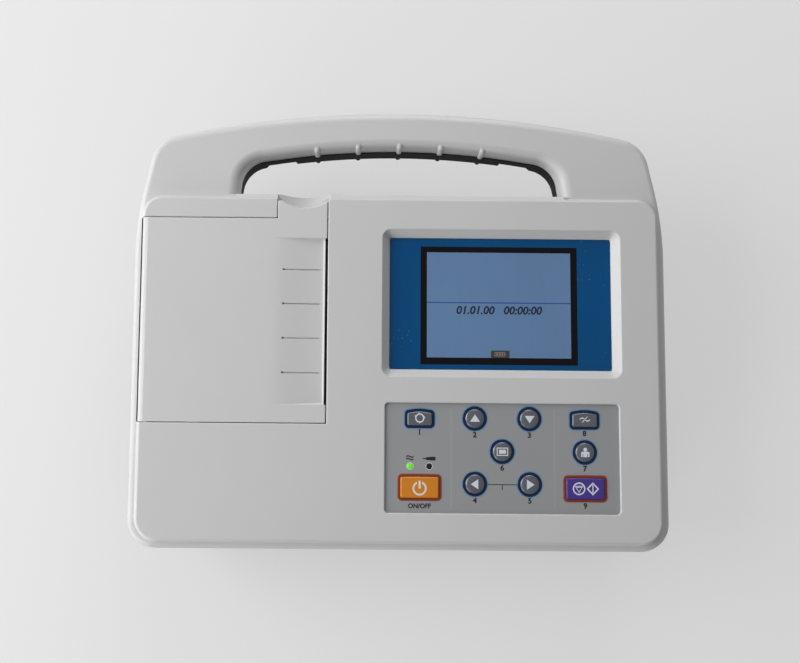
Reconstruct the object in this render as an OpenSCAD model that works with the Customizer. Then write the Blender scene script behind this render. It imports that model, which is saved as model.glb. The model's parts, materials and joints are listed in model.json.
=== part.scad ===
// Portable electrocardiograph with a carrying handle, a colour display, a keypad and a
// thermal recorder under a side-hinged paper door.
// X runs along the front, Y to the rear, Z up. The origin is on the table, below the middle.

/* [Housing] */
// Width over the rim of the upper housing
body_w = 263; // [255:1:275]
// Depth from the front rim to the crown of the handle
body_d = 214.6; // [212:0.2:222]
// Height of the raised deck above the table
deck_z = 70; // [68:0.5:76]
// Height of the handle's top face and of the ledge round the deck
ledge_z = 66; // [65:0.5:67]
// Height of the parting line between the two housings
part_z = 54.5; // [53.5:0.5:57]
// Wall thickness of both housings
wall = 2.5; // [2:0.1:2.8]
// Corner radius of the rim at the front
rim_corner_r = 14; // [10:1:18]
// Slope of the sides: how far the lower housing narrows towards its floor
side_draft = 4.5; // [3:0.5:5]
// Setback of the lower housing from the rim above it
lower_setback = 1.4; // [0.8:0.2:2]

/* [Deck] */
// Width of the ledge on each side of the raised deck
deck_side_gap = 7.5; // [6:0.5:8.5]
// Depth of the raised deck
deck_d = 163.3; // [161:0.1:164]
// Distance from the front rim to the deck's front edge
deck_front_gap = 5.5; // [4.5:0.5:7]
// Corner radius of the deck at the front
deck_front_r = 9.5; // [7:0.5:12]
// Corner radius of the deck at the rear
deck_rear_r = 8; // [6:0.5:10]

/* [Handle] */
// Distance from the deck's rear edge to the front of the hand hole
hole_gap = 3.2; // [3:0.1:5]
// Width of the hand hole
hole_w = 160.6; // [150:1:170]
// Depth of the hand hole at its middle
hole_d = 24.7; // [22:0.1:25]
// Corner radius of the hand hole at the rear
hole_corner_r = 14; // [8:0.5:15.5]
// Thickness of the handle's lower half
grip_lower_t = 10; // [8:0.5:12]
// Pitch of the finger ribs
rib_pitch = 20.5; // [18:0.5:22]
// Radius of one finger rib
rib_r = 1.8; // [1.2:0.1:2.2]

/* [Display] */
// Middle of the display window along X
window_x = 49.15; // [47:0.05:50]
// Distance from the deck's front edge to the middle of the display window
window_y = 113.4; // [111.8:0.1:114.8]
// Width of the display window
window_w = 107.7; // [104:0.1:110]
// Height of the display window along Y
window_h = 64.2; // [62:0.1:66]
// Thickness of the display window
window_t = 1.2; // [1:0.1:1.5]
// Depth of the window below the deck
window_drop = 4; // [3.5:0.1:4.2]
// Run of the bevel round the window
bevel = 3.5; // [2:0.1:4]
// Width of the display module
lcd_w = 76.9; // [74:0.1:80]
// Height of the display module along Y
lcd_h = 63.9; // [60:0.1:64.4]
// Thickness of the display module
lcd_t = 3.5; // [3:0.1:4]

/* [Keypad] */
// Distance from the deck's front edge to the middle of the keypad panel
panel_y = 39; // [37.8:0.1:39.8]
// Width of the keypad panel
panel_w = 112; // [110:0.5:114]
// Height of the keypad panel along Y
panel_h = 52.2; // [51:0.1:53]
// Thickness of the keypad panel
panel_t = 1.5; // [1.2:0.1:1.8]
// Depth of the panel's face below the deck
panel_drop = 1; // [0.6:0.1:1.2]
// Diameter of a round key
round_key_d = 9.4; // [8.4:0.1:9.8]
// Width of an arched key
arch_key_w = 12.1; // [11:0.1:12.6]
// Height of an arched key along Y
arch_key_h = 7.3; // [6.6:0.1:7.6]
// Width of a large key
big_key_w = 18.6; // [17:0.1:19]
// Height of a large key along Y
big_key_h = 10.4; // [9:0.1:10.8]
// Width of the trim ring round each key
ring_w = 1.25; // [1:0.05:1.35]
// Gap between a key and its surroundings
key_gap = 0.2; // [0.15:0.05:0.25]
// Travel of a key
key_travel = 0.8; // [0.5:0.1:0.9]
// Diameter of a lamp's light pipe
lamp_d = 2.9; // [2.4:0.1:3.2]

/* [Paper door] */
// Distance from the rim's left side to the paper door's left edge
door_left = 6.2; // [6:0.1:6.5]
// Width of the paper door along X
door_w = 90; // [89.5:0.1:90.2]
// Depth of the paper door along Y
door_d = 99; // [98.6:0.1:99.4]
// Distance from the deck's front edge to the door
door_front = 55; // [54.7:0.1:55.3]
// Width of the finger tab that reaches the deck's rear edge
tab_w = 24.2; // [23:0.1:25]
// Gap round the door
door_gap = 0.3; // [0.25:0.05:0.4]
// Radius of the hinge pin
pin_r = 1.5; // [1.2:0.1:1.6]
// Radius of the door's hinge knuckles
knuckle_r = 3; // [2.8:0.1:3.2]
// Number of knuckles on the door
knuckles = 4; // [2:1:5]

/* [Recorder] */
// Width of the chart paper
paper_w = 80; // [78:0.5:80.5]
// Distance from the paper door's front edge to the middle of the chart paper
recorder_y = 49.05; // [48.8:0.05:49.3]
// Radius of the paper roll
roll_r = 24; // [18:0.5:24.5]
// Radius of the roll's core
core_r = 9; // [8:0.5:10]
// Radius of the spindle through the core
spindle_r = 6; // [5:0.5:7]
// Radius of the spindle's journals
journal_r = 3; // [2.5:0.1:3.5]
// Radius of the platen roller
platen_r = 5.5; // [5:0.1:5.5]
// Radius of the platen shaft
shaft_r = 2.5; // [2:0.1:2.6]
// Radius of the platen's bearing bushes
bush_r = 4; // [3.6:0.1:4.2]
// Running clearance of a shaft in its hole
running = 0.05; // [0.03:0.01:0.08]
// Gear module
gear_m = 0.6; // [0.58:0.01:0.6]
// Width of the gears
gear_w = 3.5; // [3:0.1:4]
// Radius of the feed motor
motor_r = 12.5; // [10:0.5:13]
// Length of the feed motor
motor_l = 22; // [16:1:26]
// Height of the thermal head
head_h = 11; // [9:0.5:11.5]

/* [Electronics] */
// Thickness of the circuit boards
board_t = 1.6; // [1.2:0.1:1.8]
// Height of the main board above the table
main_z = 15; // [14:0.5:16]
// Length of the battery pack
battery_l = 80; // [70:1:84]
// Width of the battery pack
battery_w = 36; // [30:1:36]
// Height of the battery pack
battery_h = 20; // [16:0.5:22]
// Height of the side connectors' middle above the table
port_z = 32; // [31:0.5:33]

/* [Feet and fasteners] */
// Radius of a rubber foot
foot_r = 7; // [5:0.5:8]
// Height of the rubber feet below the housing
foot_h = 3; // [2.5:0.1:4]
// Radius of the housing screws' shanks
screw_r = 1.5; // [1.2:0.1:1.6]
// Radius of the housing screws' heads
screw_head_r = 2.8; // [2.5:0.1:3]

/* [Hidden] */

$fn = 48;
// A cut reaches this far past the face that it opens
over = 0.5;
// Steps in each rounded corner of an outline
arc_n = 8;

// Housing
rim_front = -body_d/2;
crown_y = body_d/2;
half_w = body_w/2;
floor_z = foot_h;
inside_z = floor_z + wall;
skin_z = deck_z - wall;
deck_w = body_w - 2*deck_side_gap;
deck_front = rim_front + deck_front_gap;
deck_rear = deck_front + deck_d;
side_bend_y = crown_y - 55;
side_bend_r = 160;
shoulder_x = half_w - 9.3;
shoulder_y = crown_y - 14.2;
shoulder_r = 17;
crown_slope = 11.8;
crown_apex = shoulder_y + shoulder_x*tan(crown_slope);
crown_r = (crown_apex - crown_y)/(1/cos(crown_slope) - 1);

// Handle and hand hole
hole_front = deck_rear + hole_gap;
hole_crest = hole_front + hole_d;
hole_corner_x = hole_w/2 - 2.9;
hole_corner_y = hole_crest - 7.3;
hole_slope = 9.4;
hole_apex = hole_corner_y + hole_corner_x*tan(hole_slope);
hole_crest_r = (hole_apex - hole_crest)/(1/cos(hole_slope) - 1);
grip_z = part_z - grip_lower_t;
rib_count = 5;
tub_rear = hole_front;

// Door: edges, hinge axis and the right edge at the paper slot
door_x0 = -half_w + door_left;
door_x1 = door_x0 + door_w;
door_y0 = deck_front + door_front;
door_y1 = door_y0 + door_d;
slot_w = 1.3;
slot_l = paper_w + 0.9;
tab_x0 = door_x1 - tab_w;
scoop_r = 18.9;
scoop_in = 4.3;
scoop_x = tab_x0 + 13.2;
hinge_x = door_x0 + knuckle_r + 0.8;
hinge_z = deck_z - knuckle_r - 0.4;
bay_x0 = door_x0 - 1.1;
bay_x1 = door_x1 + slot_w - 0.9;

// Ribs across the hollow in front of the slot
hollow_w = 26;
hollow_ribs = 4;
hollow_rib_pitch = 16.67;
hollow_rib_t = 0.8;

// Recorder: chassis end walls, platen, gears, roll
paper_y = door_y0 + recorder_y;
end_t = 2.5;
end_gap = 1.75;
bay_y0 = paper_y - paper_w/2 - end_gap - 0.45;
bay_y1 = paper_y + paper_w/2 + end_gap + 0.45;
wall_y0 = bay_y0 - end_t;
wall_y1 = bay_y1 + end_t;
cheek_t = 2;
cheek_gap = 0.6;
cheek_y0 = wall_y0 - cheek_gap - cheek_t;
cheek_y1 = wall_y1 + cheek_gap;
platen_x = door_x1 - 6.7;
platen_z = skin_z - platen_r - 0.5;
head_gap = 0.35;
head_x = platen_x + platen_r + head_gap;
platen_teeth = 16;
idler_teeth = 24;
pinion_teeth = 12;
gear_y = cheek_y1 + cheek_t + 0.6;
idler_z = platen_z - gear_m*(platen_teeth + idler_teeth)/2;
pinion_z = idler_z - gear_m*(idler_teeth + pinion_teeth)/2;
plate_z = platen_z - platen_r - 1;
plate_t = 2.5;
trough_r = roll_r + 2.5;
trough_t = 2.5;
chassis_x0 = door_x0 + 4;
chassis_x1 = head_x + 11.5;
chassis_z0 = floor_z + 7.5;
roll_x = chassis_x0 + trough_t + trough_r;
roll_z = chassis_z0 + trough_t + trough_r;
chassis_top = plate_z + 2.5;
head_pin_r = 1;
substrate_t = 1;
heat_t = 2.5;
head_z0 = plate_z + 0.3;
head_pin_x = head_x + substrate_t + heat_t/2 + 0.4;
head_pin_z = head_z0 + 2;
spring_z = head_z0 + head_h - 2.5;
back_x = chassis_x1 - 2.5;

// Display and keypad
window_cy = deck_front + window_y;
panel_cy = deck_front + panel_y;
window_top = deck_z - window_drop;
window_seat = window_top - window_t;
frame_t = 2.5;
lcd_top = window_seat - frame_t;
sight_w = 76.3;
sight_h = 57.7;
frame_rim = 5;
panel_top = deck_z - panel_drop;
panel_seat = panel_top - panel_t;
seat_t = 2;
seat_rim = 3;
seat_in = 1.6;
column_out = 39.4;
column_in = 13.05;
row_1 = 18.8;
row_2 = 3.2;
row_3 = -12.2;
row_big = -13.9;
lamp_y = -4;
lamp_step = 9.1;
key_rise = 0.95;
flange_t = 1;
flange_w = 0.7;
mat_t = 1;
board_top = panel_seat - seat_t - flange_t - 3.1;
mat_top = board_top + mat_t;
// Name, middle from the panel's middle, width, height and arch rise of each key;
// a width equal to the height and no arch means a round key
KEYS = [
  ["key_mode", -column_out, row_1, arch_key_w, arch_key_h, 1.2],
  ["key_filter", column_out, row_1, arch_key_w, arch_key_h, 1.2],
  ["key_up", -column_in, row_1, round_key_d, round_key_d, 0],
  ["key_down", column_in, row_1, round_key_d, round_key_d, 0],
  ["key_menu", 0, row_2, round_key_d, round_key_d, 0],
  ["key_patient", column_out, row_2, round_key_d, round_key_d, 0],
  ["key_left", -column_in, row_3, round_key_d, round_key_d, 0],
  ["key_right", column_in, row_3, round_key_d, round_key_d, 0],
  ["key_power", -column_out, row_big, big_key_w, big_key_h, 0.2],
  ["key_run", column_out, row_big, big_key_w, big_key_h, 0.2]
];

// Boards, ports and underside
board_gap = 1;
screw_front = rim_front + 14;
battery_x = 37;
battery_y = rim_front + 16 + battery_w/2;
well_wall = 5.5;
well_x0 = battery_x - battery_l/2 - well_wall;
well_x1 = battery_x + battery_l/2 + well_wall;
main_x0 = chassis_x1 + 4;
main_x1 = half_w - 18;
main_y0 = battery_y + battery_w/2 + 7;
main_y1 = deck_rear - 11.5;
hatch_gap = 0.3;
hatch_margin = 6;
port_face = half_w - 9;
port_recess_h = 24;
lead_y = deck_front + 118.8;
data_y = deck_front + 71.8;
inlet_y = rim_front + 36.3;
stud_y = rim_front + 15.8;
jack_pitch = 33.3;
lead_z = port_z - 6.5 - board_gap - board_t;
power_z = floor_z + 9;
speaker_r = 11;
speaker_x = well_x1 + speaker_r + 1.5;
speaker_y = battery_y + 12.3;
corner_x = half_w - 21;
power_x0 = -half_w + 34;
power_x1 = chassis_x1 - 5;
foot_x = half_w - 32;
foot_front = rim_front + 23;
foot_rear = tub_rear - 22;
boss_r = 4.5;
HOUSING_SCREWS = [
  [-corner_x, screw_front], [(power_x1 + well_x0)/2, screw_front], [corner_x, screw_front],
  [-corner_x + 3, tub_rear + 13], [corner_x - 3, tub_rear + 13], [0, (hole_crest + crown_y)/2]
];
function in_handle(p) = p.y > tub_rear;
function screw_seat(p) = in_handle(p) ? grip_z + 3 : part_z - 8;
FEET = [for (x = [-foot_x, foot_x], y = [foot_front, foot_rear]) [x, y]];
lead_x0 = port_face - 38;
lead_x1 = port_face - wall - 1.5;
STANDOFFS = [for (y = [data_y - 8, lead_y + 20]) [lead_x0 + 4, y]];
COVER_SCREWS = [for (x = [-1, 1]) [battery_x + x*(battery_l/2 + 3.2), battery_y + 1]];
MAIN_SCREWS = [for (x = [main_x0 + 5, main_x1 - 5], y = [main_y0 + 5, main_y1 - 5]) [x, y]];
power_y0 = rim_front + 20;
power_y1 = door_y0 - 5;
transformer_w = 30;
transformer_d = 26;
transformer_h = 20;
winding_in = 5;
POWER_SCREWS = [for (x = [power_x0 + 4, power_x1 - 4], y = [power_y0 + 4, power_y1 - 4]) [x, y]];
CHASSIS_SCREWS = [for (x = [roll_x - 17, chassis_x1 - 8], y = [wall_y0 - 4, wall_y1 + 4]) [x, y]];
KEYPAD_SCREWS = [for (x = [-1, 1], y = [-1, 1]) [x*(panel_w/2 - 3.5), y*(panel_h/2 - 3.5)]];

function keypad_at(p) = [window_x + p.x, panel_cy + p.y];

// Points of the arc that rounds the corner q between p and s
function corner(p, q, s, r) =
  let (u = (p - q)/norm(p - q), v = (s - q)/norm(s - q), half = acos(u*v)/2)
  let (m = (u + v)/norm(u + v), c = q + m*r/sin(half))
  let (a = q + u*r/tan(half) - c, b = q + v*r/tan(half) - c)
  let (a0 = atan2(a.y, a.x), turn = atan2(a.x*b.y - a.y*b.x, a*b))
  [for (i = [0:arc_n]) c + r*[cos(a0 + turn*i/arc_n), sin(a0 + turn*i/arc_n)]];

// Outline of a polygon with each corner rounded to its own radius
function rounded(pts, radii) =
  let (n = len(pts))
  [for (i = [0:n - 1]) each corner(pts[(i + n - 1) % n], pts[i], pts[(i + 1) % n], radii[i])];

// The polygon moved inwards by t on every side; its points run anticlockwise
function inset(pts, t) =
  let (n = len(pts))
  [for (i = [0:n - 1])
    let (e = pts[i] - pts[(i + n - 1) % n], f = pts[(i + 1) % n] - pts[i])
    let (a = [-e.y, e.x]/norm(e), b = [-f.y, f.x]/norm(f))
    pts[i] + t*(a + b)/(1 + a*b)];

// Rounded outline moved inwards by t, its radii following where they can
function shrunk(pts, radii, t) = rounded(inset(pts, t), [for (r = radii) max(r - t, 0.4)]);

// Corner points and radii of an upright rectangle
function box_pts(x0, x1, y0, y1) = [[x0, y0], [x1, y0], [x1, y1], [x0, y1]];

RIM = [
  [-half_w, rim_front], [half_w, rim_front], [half_w, side_bend_y], [shoulder_x, shoulder_y],
  [0, crown_apex], [-shoulder_x, shoulder_y], [-half_w, side_bend_y]
];
RIM_R = [rim_corner_r, rim_corner_r, side_bend_r, shoulder_r, crown_r, shoulder_r, side_bend_r];
DECK = box_pts(-deck_w/2, deck_w/2, deck_front, deck_rear);
DECK_R = [deck_front_r, deck_front_r, deck_rear_r, deck_rear_r];
TUB = box_pts(-half_w, half_w, rim_front, tub_rear);
TUB_R = [rim_corner_r, rim_corner_r, rim_corner_r, rim_corner_r];

// Outline of the hand hole, grown by t at its sides and rear only
function hole_outline(t) = rounded(
  [[-hole_w/2 - t, hole_front], [hole_w/2 + t, hole_front], [hole_corner_x + t, hole_corner_y + t],
   [0, hole_apex + t], [-hole_corner_x - t, hole_corner_y + t]],
  [2, 2, hole_corner_r + t, hole_crest_r, hole_corner_r + t]);

// Closed solid through rings of equal point counts, each at its own height
module loft(rings, heights) {
  n = len(rings[0]);
  m = len(rings);
  points = [for (k = [0:m - 1], p = rings[k]) [p.x, p.y, heights[k]]];
  sides = [for (k = [0:m - 2], i = [0:n - 1])
    [k*n + i, (k + 1)*n + i, (k + 1)*n + (i + 1) % n, k*n + (i + 1) % n]];
  bottom = [for (i = [0:n - 1]) i];
  top = [for (i = [0:n - 1]) m*n - 1 - i];
  polyhedron(points, concat([bottom], sides, [top]), convexity = 6);
}

// Straight block of an outline from z0 to z1
module slab(outline, z0, z1) {
  translate([0, 0, z0]) linear_extrude(z1 - z0) polygon(outline);
}

// Box between two corners
module span(low, high) {
  translate(low) cube(high - low);
}

// Cylinder along Y from y0 to y1
module rod_y(x, z, r, y0, y1) {
  translate([x, y0, z]) rotate([-90, 0, 0]) cylinder(r = r, h = y1 - y0);
}

// Upright cylinder from z0 to z1
module post(at, r, z0, z1) {
  translate([at.x, at.y, z0]) cylinder(r = r, h = z1 - z0);
}

// Toothed disc along Y, its first tooth at the given angle in the XZ plane
module gear_y(x, z, teeth, first, bore) {
  pitch = gear_m*teeth/2;
  tip = pitch + 0.85*gear_m;
  root = pitch - 1.2*gear_m;
  step = 360/teeth;
  outline = [for (i = [0:teeth - 1], q = [[root, -0.29], [tip, -0.11], [tip, 0.11], [root, 0.29]])
    q[0]*[cos(first + step*(i + q[1])), sin(first + step*(i + q[1]))]];
  translate([x, gear_y + gear_w, z]) rotate([90, 0, 0]) difference() {
    linear_extrude(gear_w) polygon(outline);
    translate([0, 0, -over]) cylinder(r = bore, h = gear_w + 2*over);
  }
}

// Plan of a key, grown by t: a circle, or a rounded rectangle with an arched upper edge
module key_plan(key, t) {
  w = key[3]/2 + t;
  h = key[4]/2 + t;
  arch = key[5];
  if (arch == 0) {
    circle(r = w);
  } else {
    apex_r = w*w/(2*arch)*0.9;
    polygon(rounded([[-w, -h], [w, -h], [w, h - arch], [0, h], [-w, h - arch]],
      [1 + t, 1 + t, 1 + t, apex_r, 1 + t]));
  }
}

module at_key(key) {
  translate([window_x + key[1], panel_cy + key[2], 0]) children();
}

// The door's opening: main field, finger tab and the groove beside the hinge
module door_field(grow, z0, z1) {
  span([bay_x0 + (0.3 - grow), door_y0 - grow, z0], [bay_x1, door_y1 + grow, z1]);
  span([tab_x0 - grow, door_y1 - 1, z0], [bay_x1, deck_rear - 6, z1]);
  span([tab_x0 - grow, door_y1 - 1, skin_z - 0.3], [bay_x1, deck_rear + 1, z1]);
}

// Finger scoop at the rear of the tab, narrowing downwards to the hand hole's front edge
module finger_scoop() {
  fall = deck_z - part_z;
  slope = (hole_gap + scoop_in - 1)/fall;
  intersection() {
    translate([scoop_x, deck_rear - scoop_in + scoop_r, part_z - over])
      cylinder(r1 = scoop_r - slope*(fall + over), r2 = scoop_r + slope*over, h = fall + 2*over);
    span([scoop_x - scoop_r, deck_rear - scoop_in - 2, part_z - 2], [scoop_x + scoop_r, hole_front + 2, deck_z + 2]);
  }
}

// ---- Housings ----

module upper_housing() {
  color("gainsboro") difference() {
    union() {
      difference() {
        union() {
          loft([shrunk(RIM, RIM_R, 0.6), shrunk(RIM, RIM_R, 0), shrunk(RIM, RIM_R, 0.2),
                shrunk(RIM, RIM_R, 1), shrunk(RIM, RIM_R, 2.4), shrunk(RIM, RIM_R, 5)],
            [part_z, part_z + 3, ledge_z - 4, ledge_z - 2, ledge_z - 0.8, ledge_z]);
          loft([shrunk(DECK, DECK_R, -2), shrunk(DECK, DECK_R, -1.2), shrunk(DECK, DECK_R, 0.2),
                shrunk(DECK, DECK_R, 1)],
            [ledge_z - 1, ledge_z, deck_z - 0.8, deck_z]);
        }
        slab(inset_slab_outline(wall), part_z - over, ledge_z - wall);
        slab(shrunk(DECK, DECK_R, wall), part_z, skin_z);
      }
      slab(hole_outline(wall), part_z, ledge_z - wall + 0.1);
      rear_wall();
      scoop_back();
      window_frame();
      panel_frame();
      pin_bosses();
      for (p = HOUSING_SCREWS) post(p, boss_r, part_z, in_handle(p) ? ledge_z - wall + 0.2 : skin_z + 0.2);
    }
    loft([hole_outline(0), hole_outline(0), hole_outline(1), hole_outline(3.5), hole_outline(4)],
      [part_z - over, ledge_z - 4, ledge_z - 2, ledge_z, deck_z + over]);
    deck_openings();
    for (p = HOUSING_SCREWS) post(p, screw_r, part_z - over, part_z + 7);
    for (p = KEYPAD_SCREWS) post(keypad_at(p), 1.12, board_top - over, board_top + 3.5);
  }
  color("gainsboro") for (i = [0:rib_count - 1]) finger_rib(i, part_z + 0.3, ledge_z - 2.2);
}

// Inside outline of the base, short of the wall round the hand hole
function inset_slab_outline(t) = shrunk(RIM, RIM_R, t + 0.6);

// One rib under the fingers, half sunk in the rear wall of the hand hole
module finger_rib(i, z0, z1) {
  x = (i - (rib_count - 1)/2)*rib_pitch;
  wall_y = hole_crest - x*x/(2*hole_crest_r);
  post([x, wall_y + rib_r*0.35], rib_r, z0, z1);
}

// Wall between the inside and the hand hole, sloping back from the deck's rear edge
module rear_wall() {
  x = hole_w/2 + 4;
  translate([-x, 0, 0]) rotate([90, 0, 90]) linear_extrude(2*x) polygon([
    [deck_rear - 3.5, ledge_z - 1], [deck_rear - 0.5, deck_z - 0.9], [hole_front, ledge_z + 1],
    [hole_front, part_z], [hole_front - wall, part_z], [hole_front - wall, ledge_z - 3.5]]);
}

// Solid back of the finger scoop, below the door's tab
module scoop_back() {
  span([scoop_x - 15, gear_y + gear_w + 1.4, part_z], [scoop_x + 15, hole_front - 0.1, skin_z - 0.3]);
}

// Frame under the deck that carries the display window and the module
module window_frame() {
  slab(rounded(box_pts(window_x - window_w/2 - frame_rim, window_x + window_w/2 + frame_rim,
      window_cy - window_h/2 - 3, window_cy + window_h/2 + 3), [3, 3, 3, 3]),
    lcd_top, skin_z + 0.2);
}

// Seat under the deck that carries the keypad panel
module panel_frame() {
  slab(rounded(box_pts(window_x - panel_w/2 - seat_rim, window_x + panel_w/2 + seat_rim,
      panel_cy - panel_h/2 - seat_rim, panel_cy + panel_h/2 + seat_rim), [3, 3, 3, 3]),
    panel_seat - seat_t, skin_z + 0.2);
  for (p = KEYPAD_SCREWS) post(keypad_at(p), 2.6, board_top, panel_seat - seat_t + 0.2);
}

// Bosses at both ends of the door's opening that hold the hinge pin
module pin_bosses() {
  for (y = [[door_y0 - door_gap - 4, door_y0 - door_gap], [door_y1 + door_gap, door_y1 + door_gap + 4]])
    span([hinge_x - 3, y[0], hinge_z - 3], [hinge_x + 3, y[1], skin_z + 0.5]);
}

// What is cut out of the deck: door, window, keypad, slot and screw pockets
module deck_openings() {
  door_field(door_gap, part_z - over, deck_z + over);
  finger_scoop();
  rod_y(hinge_x, hinge_z, pin_r, door_y0 - 3.5, door_y1 + 3.5);
  window = box_pts(window_x - window_w/2, window_x + window_w/2,
    window_cy - window_h/2, window_cy + window_h/2);
  corners = [2, 2, 2, 2];
  loft([shrunk(window, corners, -0.1), shrunk(window, corners, -0.1),
        shrunk(window, corners, -bevel), shrunk(window, corners, -bevel)],
    [window_seat, window_top, deck_z, deck_z + over]);
  span([window_x - sight_w/2, window_cy - sight_h/2, lcd_top - over],
    [window_x + sight_w/2, window_cy + sight_h/2, window_seat + over]);
  panel = box_pts(window_x - panel_w/2, window_x + panel_w/2,
    panel_cy - panel_h/2, panel_cy + panel_h/2);
  slab(shrunk(panel, corners, -0.1), panel_seat, deck_z + over);
  slab(shrunk(panel, corners, seat_in), panel_seat - seat_t - over, panel_seat + over);
}

module lower_housing() {
  color([0.12, 0.12, 0.13]) difference() {
    union() {
      difference() {
        union() {
          loft([shrunk(TUB, TUB_R, side_draft + lower_setback + 4),
                shrunk(TUB, TUB_R, side_draft + lower_setback + 0.8),
                shrunk(TUB, TUB_R, side_draft + lower_setback), shrunk(TUB, TUB_R, lower_setback)],
            [floor_z, floor_z + 3, floor_z + 6, part_z]);
          grip_lower();
        }
        loft([shrunk(TUB, TUB_R, side_draft + lower_setback + wall + 2),
              shrunk(TUB, TUB_R, side_draft + lower_setback + wall), shrunk(TUB, TUB_R, lower_setback + wall)],
          [inside_z, floor_z + 6, part_z + over]);
        slab(shrunk(RIM, RIM_R, lower_setback + wall), grip_z + wall, part_z + over);
      }
      slab(hole_outline(wall), grip_z + wall, part_z);
      span([-hole_w/2, tub_rear - wall - 1, grip_z], [hole_w/2, tub_rear, part_z]);
      port_pads();
      for (p = HOUSING_SCREWS) post(p, boss_r, in_handle(p) ? grip_z + 1 : inside_z - 1, part_z);
      for (p = MAIN_SCREWS) post(p, 3, inside_z - 0.5, main_z);
      for (p = POWER_SCREWS) post(p, 3, inside_z - 0.5, power_z);
      for (p = CHASSIS_SCREWS) post(p, 3.5, inside_z - 0.5, chassis_z0);
      hatch_wall();
    }
    slab(hole_outline(0), grip_z - over, part_z + over);
    port_cuts();
    hatch_cuts();
    for (p = HOUSING_SCREWS) {
      post(p, screw_r + 0.2, screw_seat(p) - over, part_z + over);
      post(p, screw_head_r + 0.3, (in_handle(p) ? grip_z : floor_z) - over, screw_seat(p));
    }
    for (p = FEET) post(p, foot_r + 0.1, floor_z - over, floor_z + 1);
    for (p = COVER_SCREWS) post(p, 1.12, floor_z, floor_z + 8);
    for (p = MAIN_SCREWS) post(p, 1, main_z - 6, main_z + over);
    for (p = POWER_SCREWS) post(p, 1, power_z - 3, power_z + over);
    for (p = CHASSIS_SCREWS) post(p, 1.2, chassis_z0 - 4.5, chassis_z0 + over);
    speaker_grille();
  }
  color([0.12, 0.12, 0.13]) for (i = [0:rib_count - 1]) finger_rib(i, grip_z + 2, part_z - 0.3);
}

// Lower half of the handle, joined to the tub at both shoulders
module grip_lower() {
  intersection() {
    loft([shrunk(RIM, RIM_R, lower_setback + 2), shrunk(RIM, RIM_R, lower_setback),
          shrunk(RIM, RIM_R, lower_setback)], [grip_z, grip_z + 3, part_z]);
    span([-half_w, tub_rear - 14, grip_z - 1], [half_w, crown_y, part_z + 1]);
  }
}

// Thickened walls behind the recessed ports
module port_pads() {
  for (p = [[1, lead_y, 50], [1, data_y, 34]])
    span([port_face - wall, p[1] - p[2]/2, port_z - port_recess_h/2 - 2],
      [half_w - 6, p[1] + p[2]/2, port_z + port_recess_h/2 + 2]);
  span([-half_w + 6, stud_y - 7, port_z - port_recess_h/2 - 2],
    [-port_face + wall, inlet_y + 19, port_z + port_recess_h/2 + 2]);
}

// Recesses and openings for the ports on both sides
module port_cuts() {
  far = half_w + 1;
  for (p = [[lead_y, 44, 27, 12], [data_y, 28, 12.6, 11.4]]) {
    span([port_face, p[0] - p[1]/2, port_z - port_recess_h/2 + 2], [far, p[0] + p[1]/2, port_z + port_recess_h/2 - 2]);
    span([port_face - wall - over, p[0] - p[2]/2, port_z - p[3]/2],
      [port_face + over, p[0] + p[2]/2, port_z + p[3]/2]);
  }
  for (s = [-1, 1]) translate([port_face - wall - over, lead_y + s*jack_pitch/2, port_z])
    rotate([0, 90, 0]) cylinder(r = 1.6, h = wall + 2*over);
  span([-far, stud_y - 5, port_z - port_recess_h/2], [-port_face, inlet_y + 17, port_z + port_recess_h/2]);
  span([-port_face - over, inlet_y - 13.7, port_z - 9.9],
    [-port_face + wall + over, inlet_y + 13.7, port_z + 9.9]);
  translate([-port_face - over, stud_y, port_z]) rotate([0, 90, 0]) cylinder(r = 2.05, h = wall + 2*over);
}

// Walls of the battery well and its ledge
module hatch_wall() {
  difference() {
    span([well_x0, battery_y - battery_w/2 - 1.5, inside_z - 0.5],
      [well_x1, battery_y + battery_w/2 + 3.5, inside_z + battery_h + 1]);
    span([battery_x - battery_l/2 - 1, battery_y - battery_w/2 - 0.5, inside_z - 1],
      [battery_x + battery_l/2 + 1, battery_y + battery_w/2 + 1, inside_z + battery_h + 2]);
  }
}

// Opening under the battery, rebated for its cover, and the cover's screw holes
module hatch_cuts() {
  span([battery_x - battery_l/2 - 1, battery_y - battery_w/2 - 0.5, floor_z - over],
    [battery_x + battery_l/2 + 1, battery_y + battery_w/2 + 1, inside_z + over]);
  hatch(hatch_gap, floor_z - over, floor_z + 1.5);
}

module hatch(grow, z0, z1) {
  slab(rounded(box_pts(battery_x - battery_l/2 - hatch_margin - grow, battery_x + battery_l/2 + hatch_margin + grow,
    battery_y - battery_w/2 - 2 - grow, battery_y + battery_w/2 + hatch_margin + grow), [2, 2, 2, 2]), z0, z1);
}

// Slots under the speaker
module speaker_grille() {
  for (i = [-2:2]) span([speaker_x - speaker_r*0.7, speaker_y + i*3 - 0.7, floor_z - over],
    [speaker_x + speaker_r*0.7, speaker_y + i*3 + 0.7, inside_z + over]);
}

// ---- Display and keypad ----

module display_window() {
  color([0.05, 0.3, 0.5]) slab(shrunk(box_pts(window_x - window_w/2, window_x + window_w/2,
    window_cy - window_h/2, window_cy + window_h/2), [2, 2, 2, 2], 0), window_seat, window_top);
}

module lcd_module() {
  color([0.4, 0.48, 0.62]) span([window_x - lcd_w/2, window_cy - lcd_h/2, lcd_top - lcd_t],
    [window_x + lcd_w/2, window_cy + lcd_h/2, lcd_top]);
}

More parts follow.
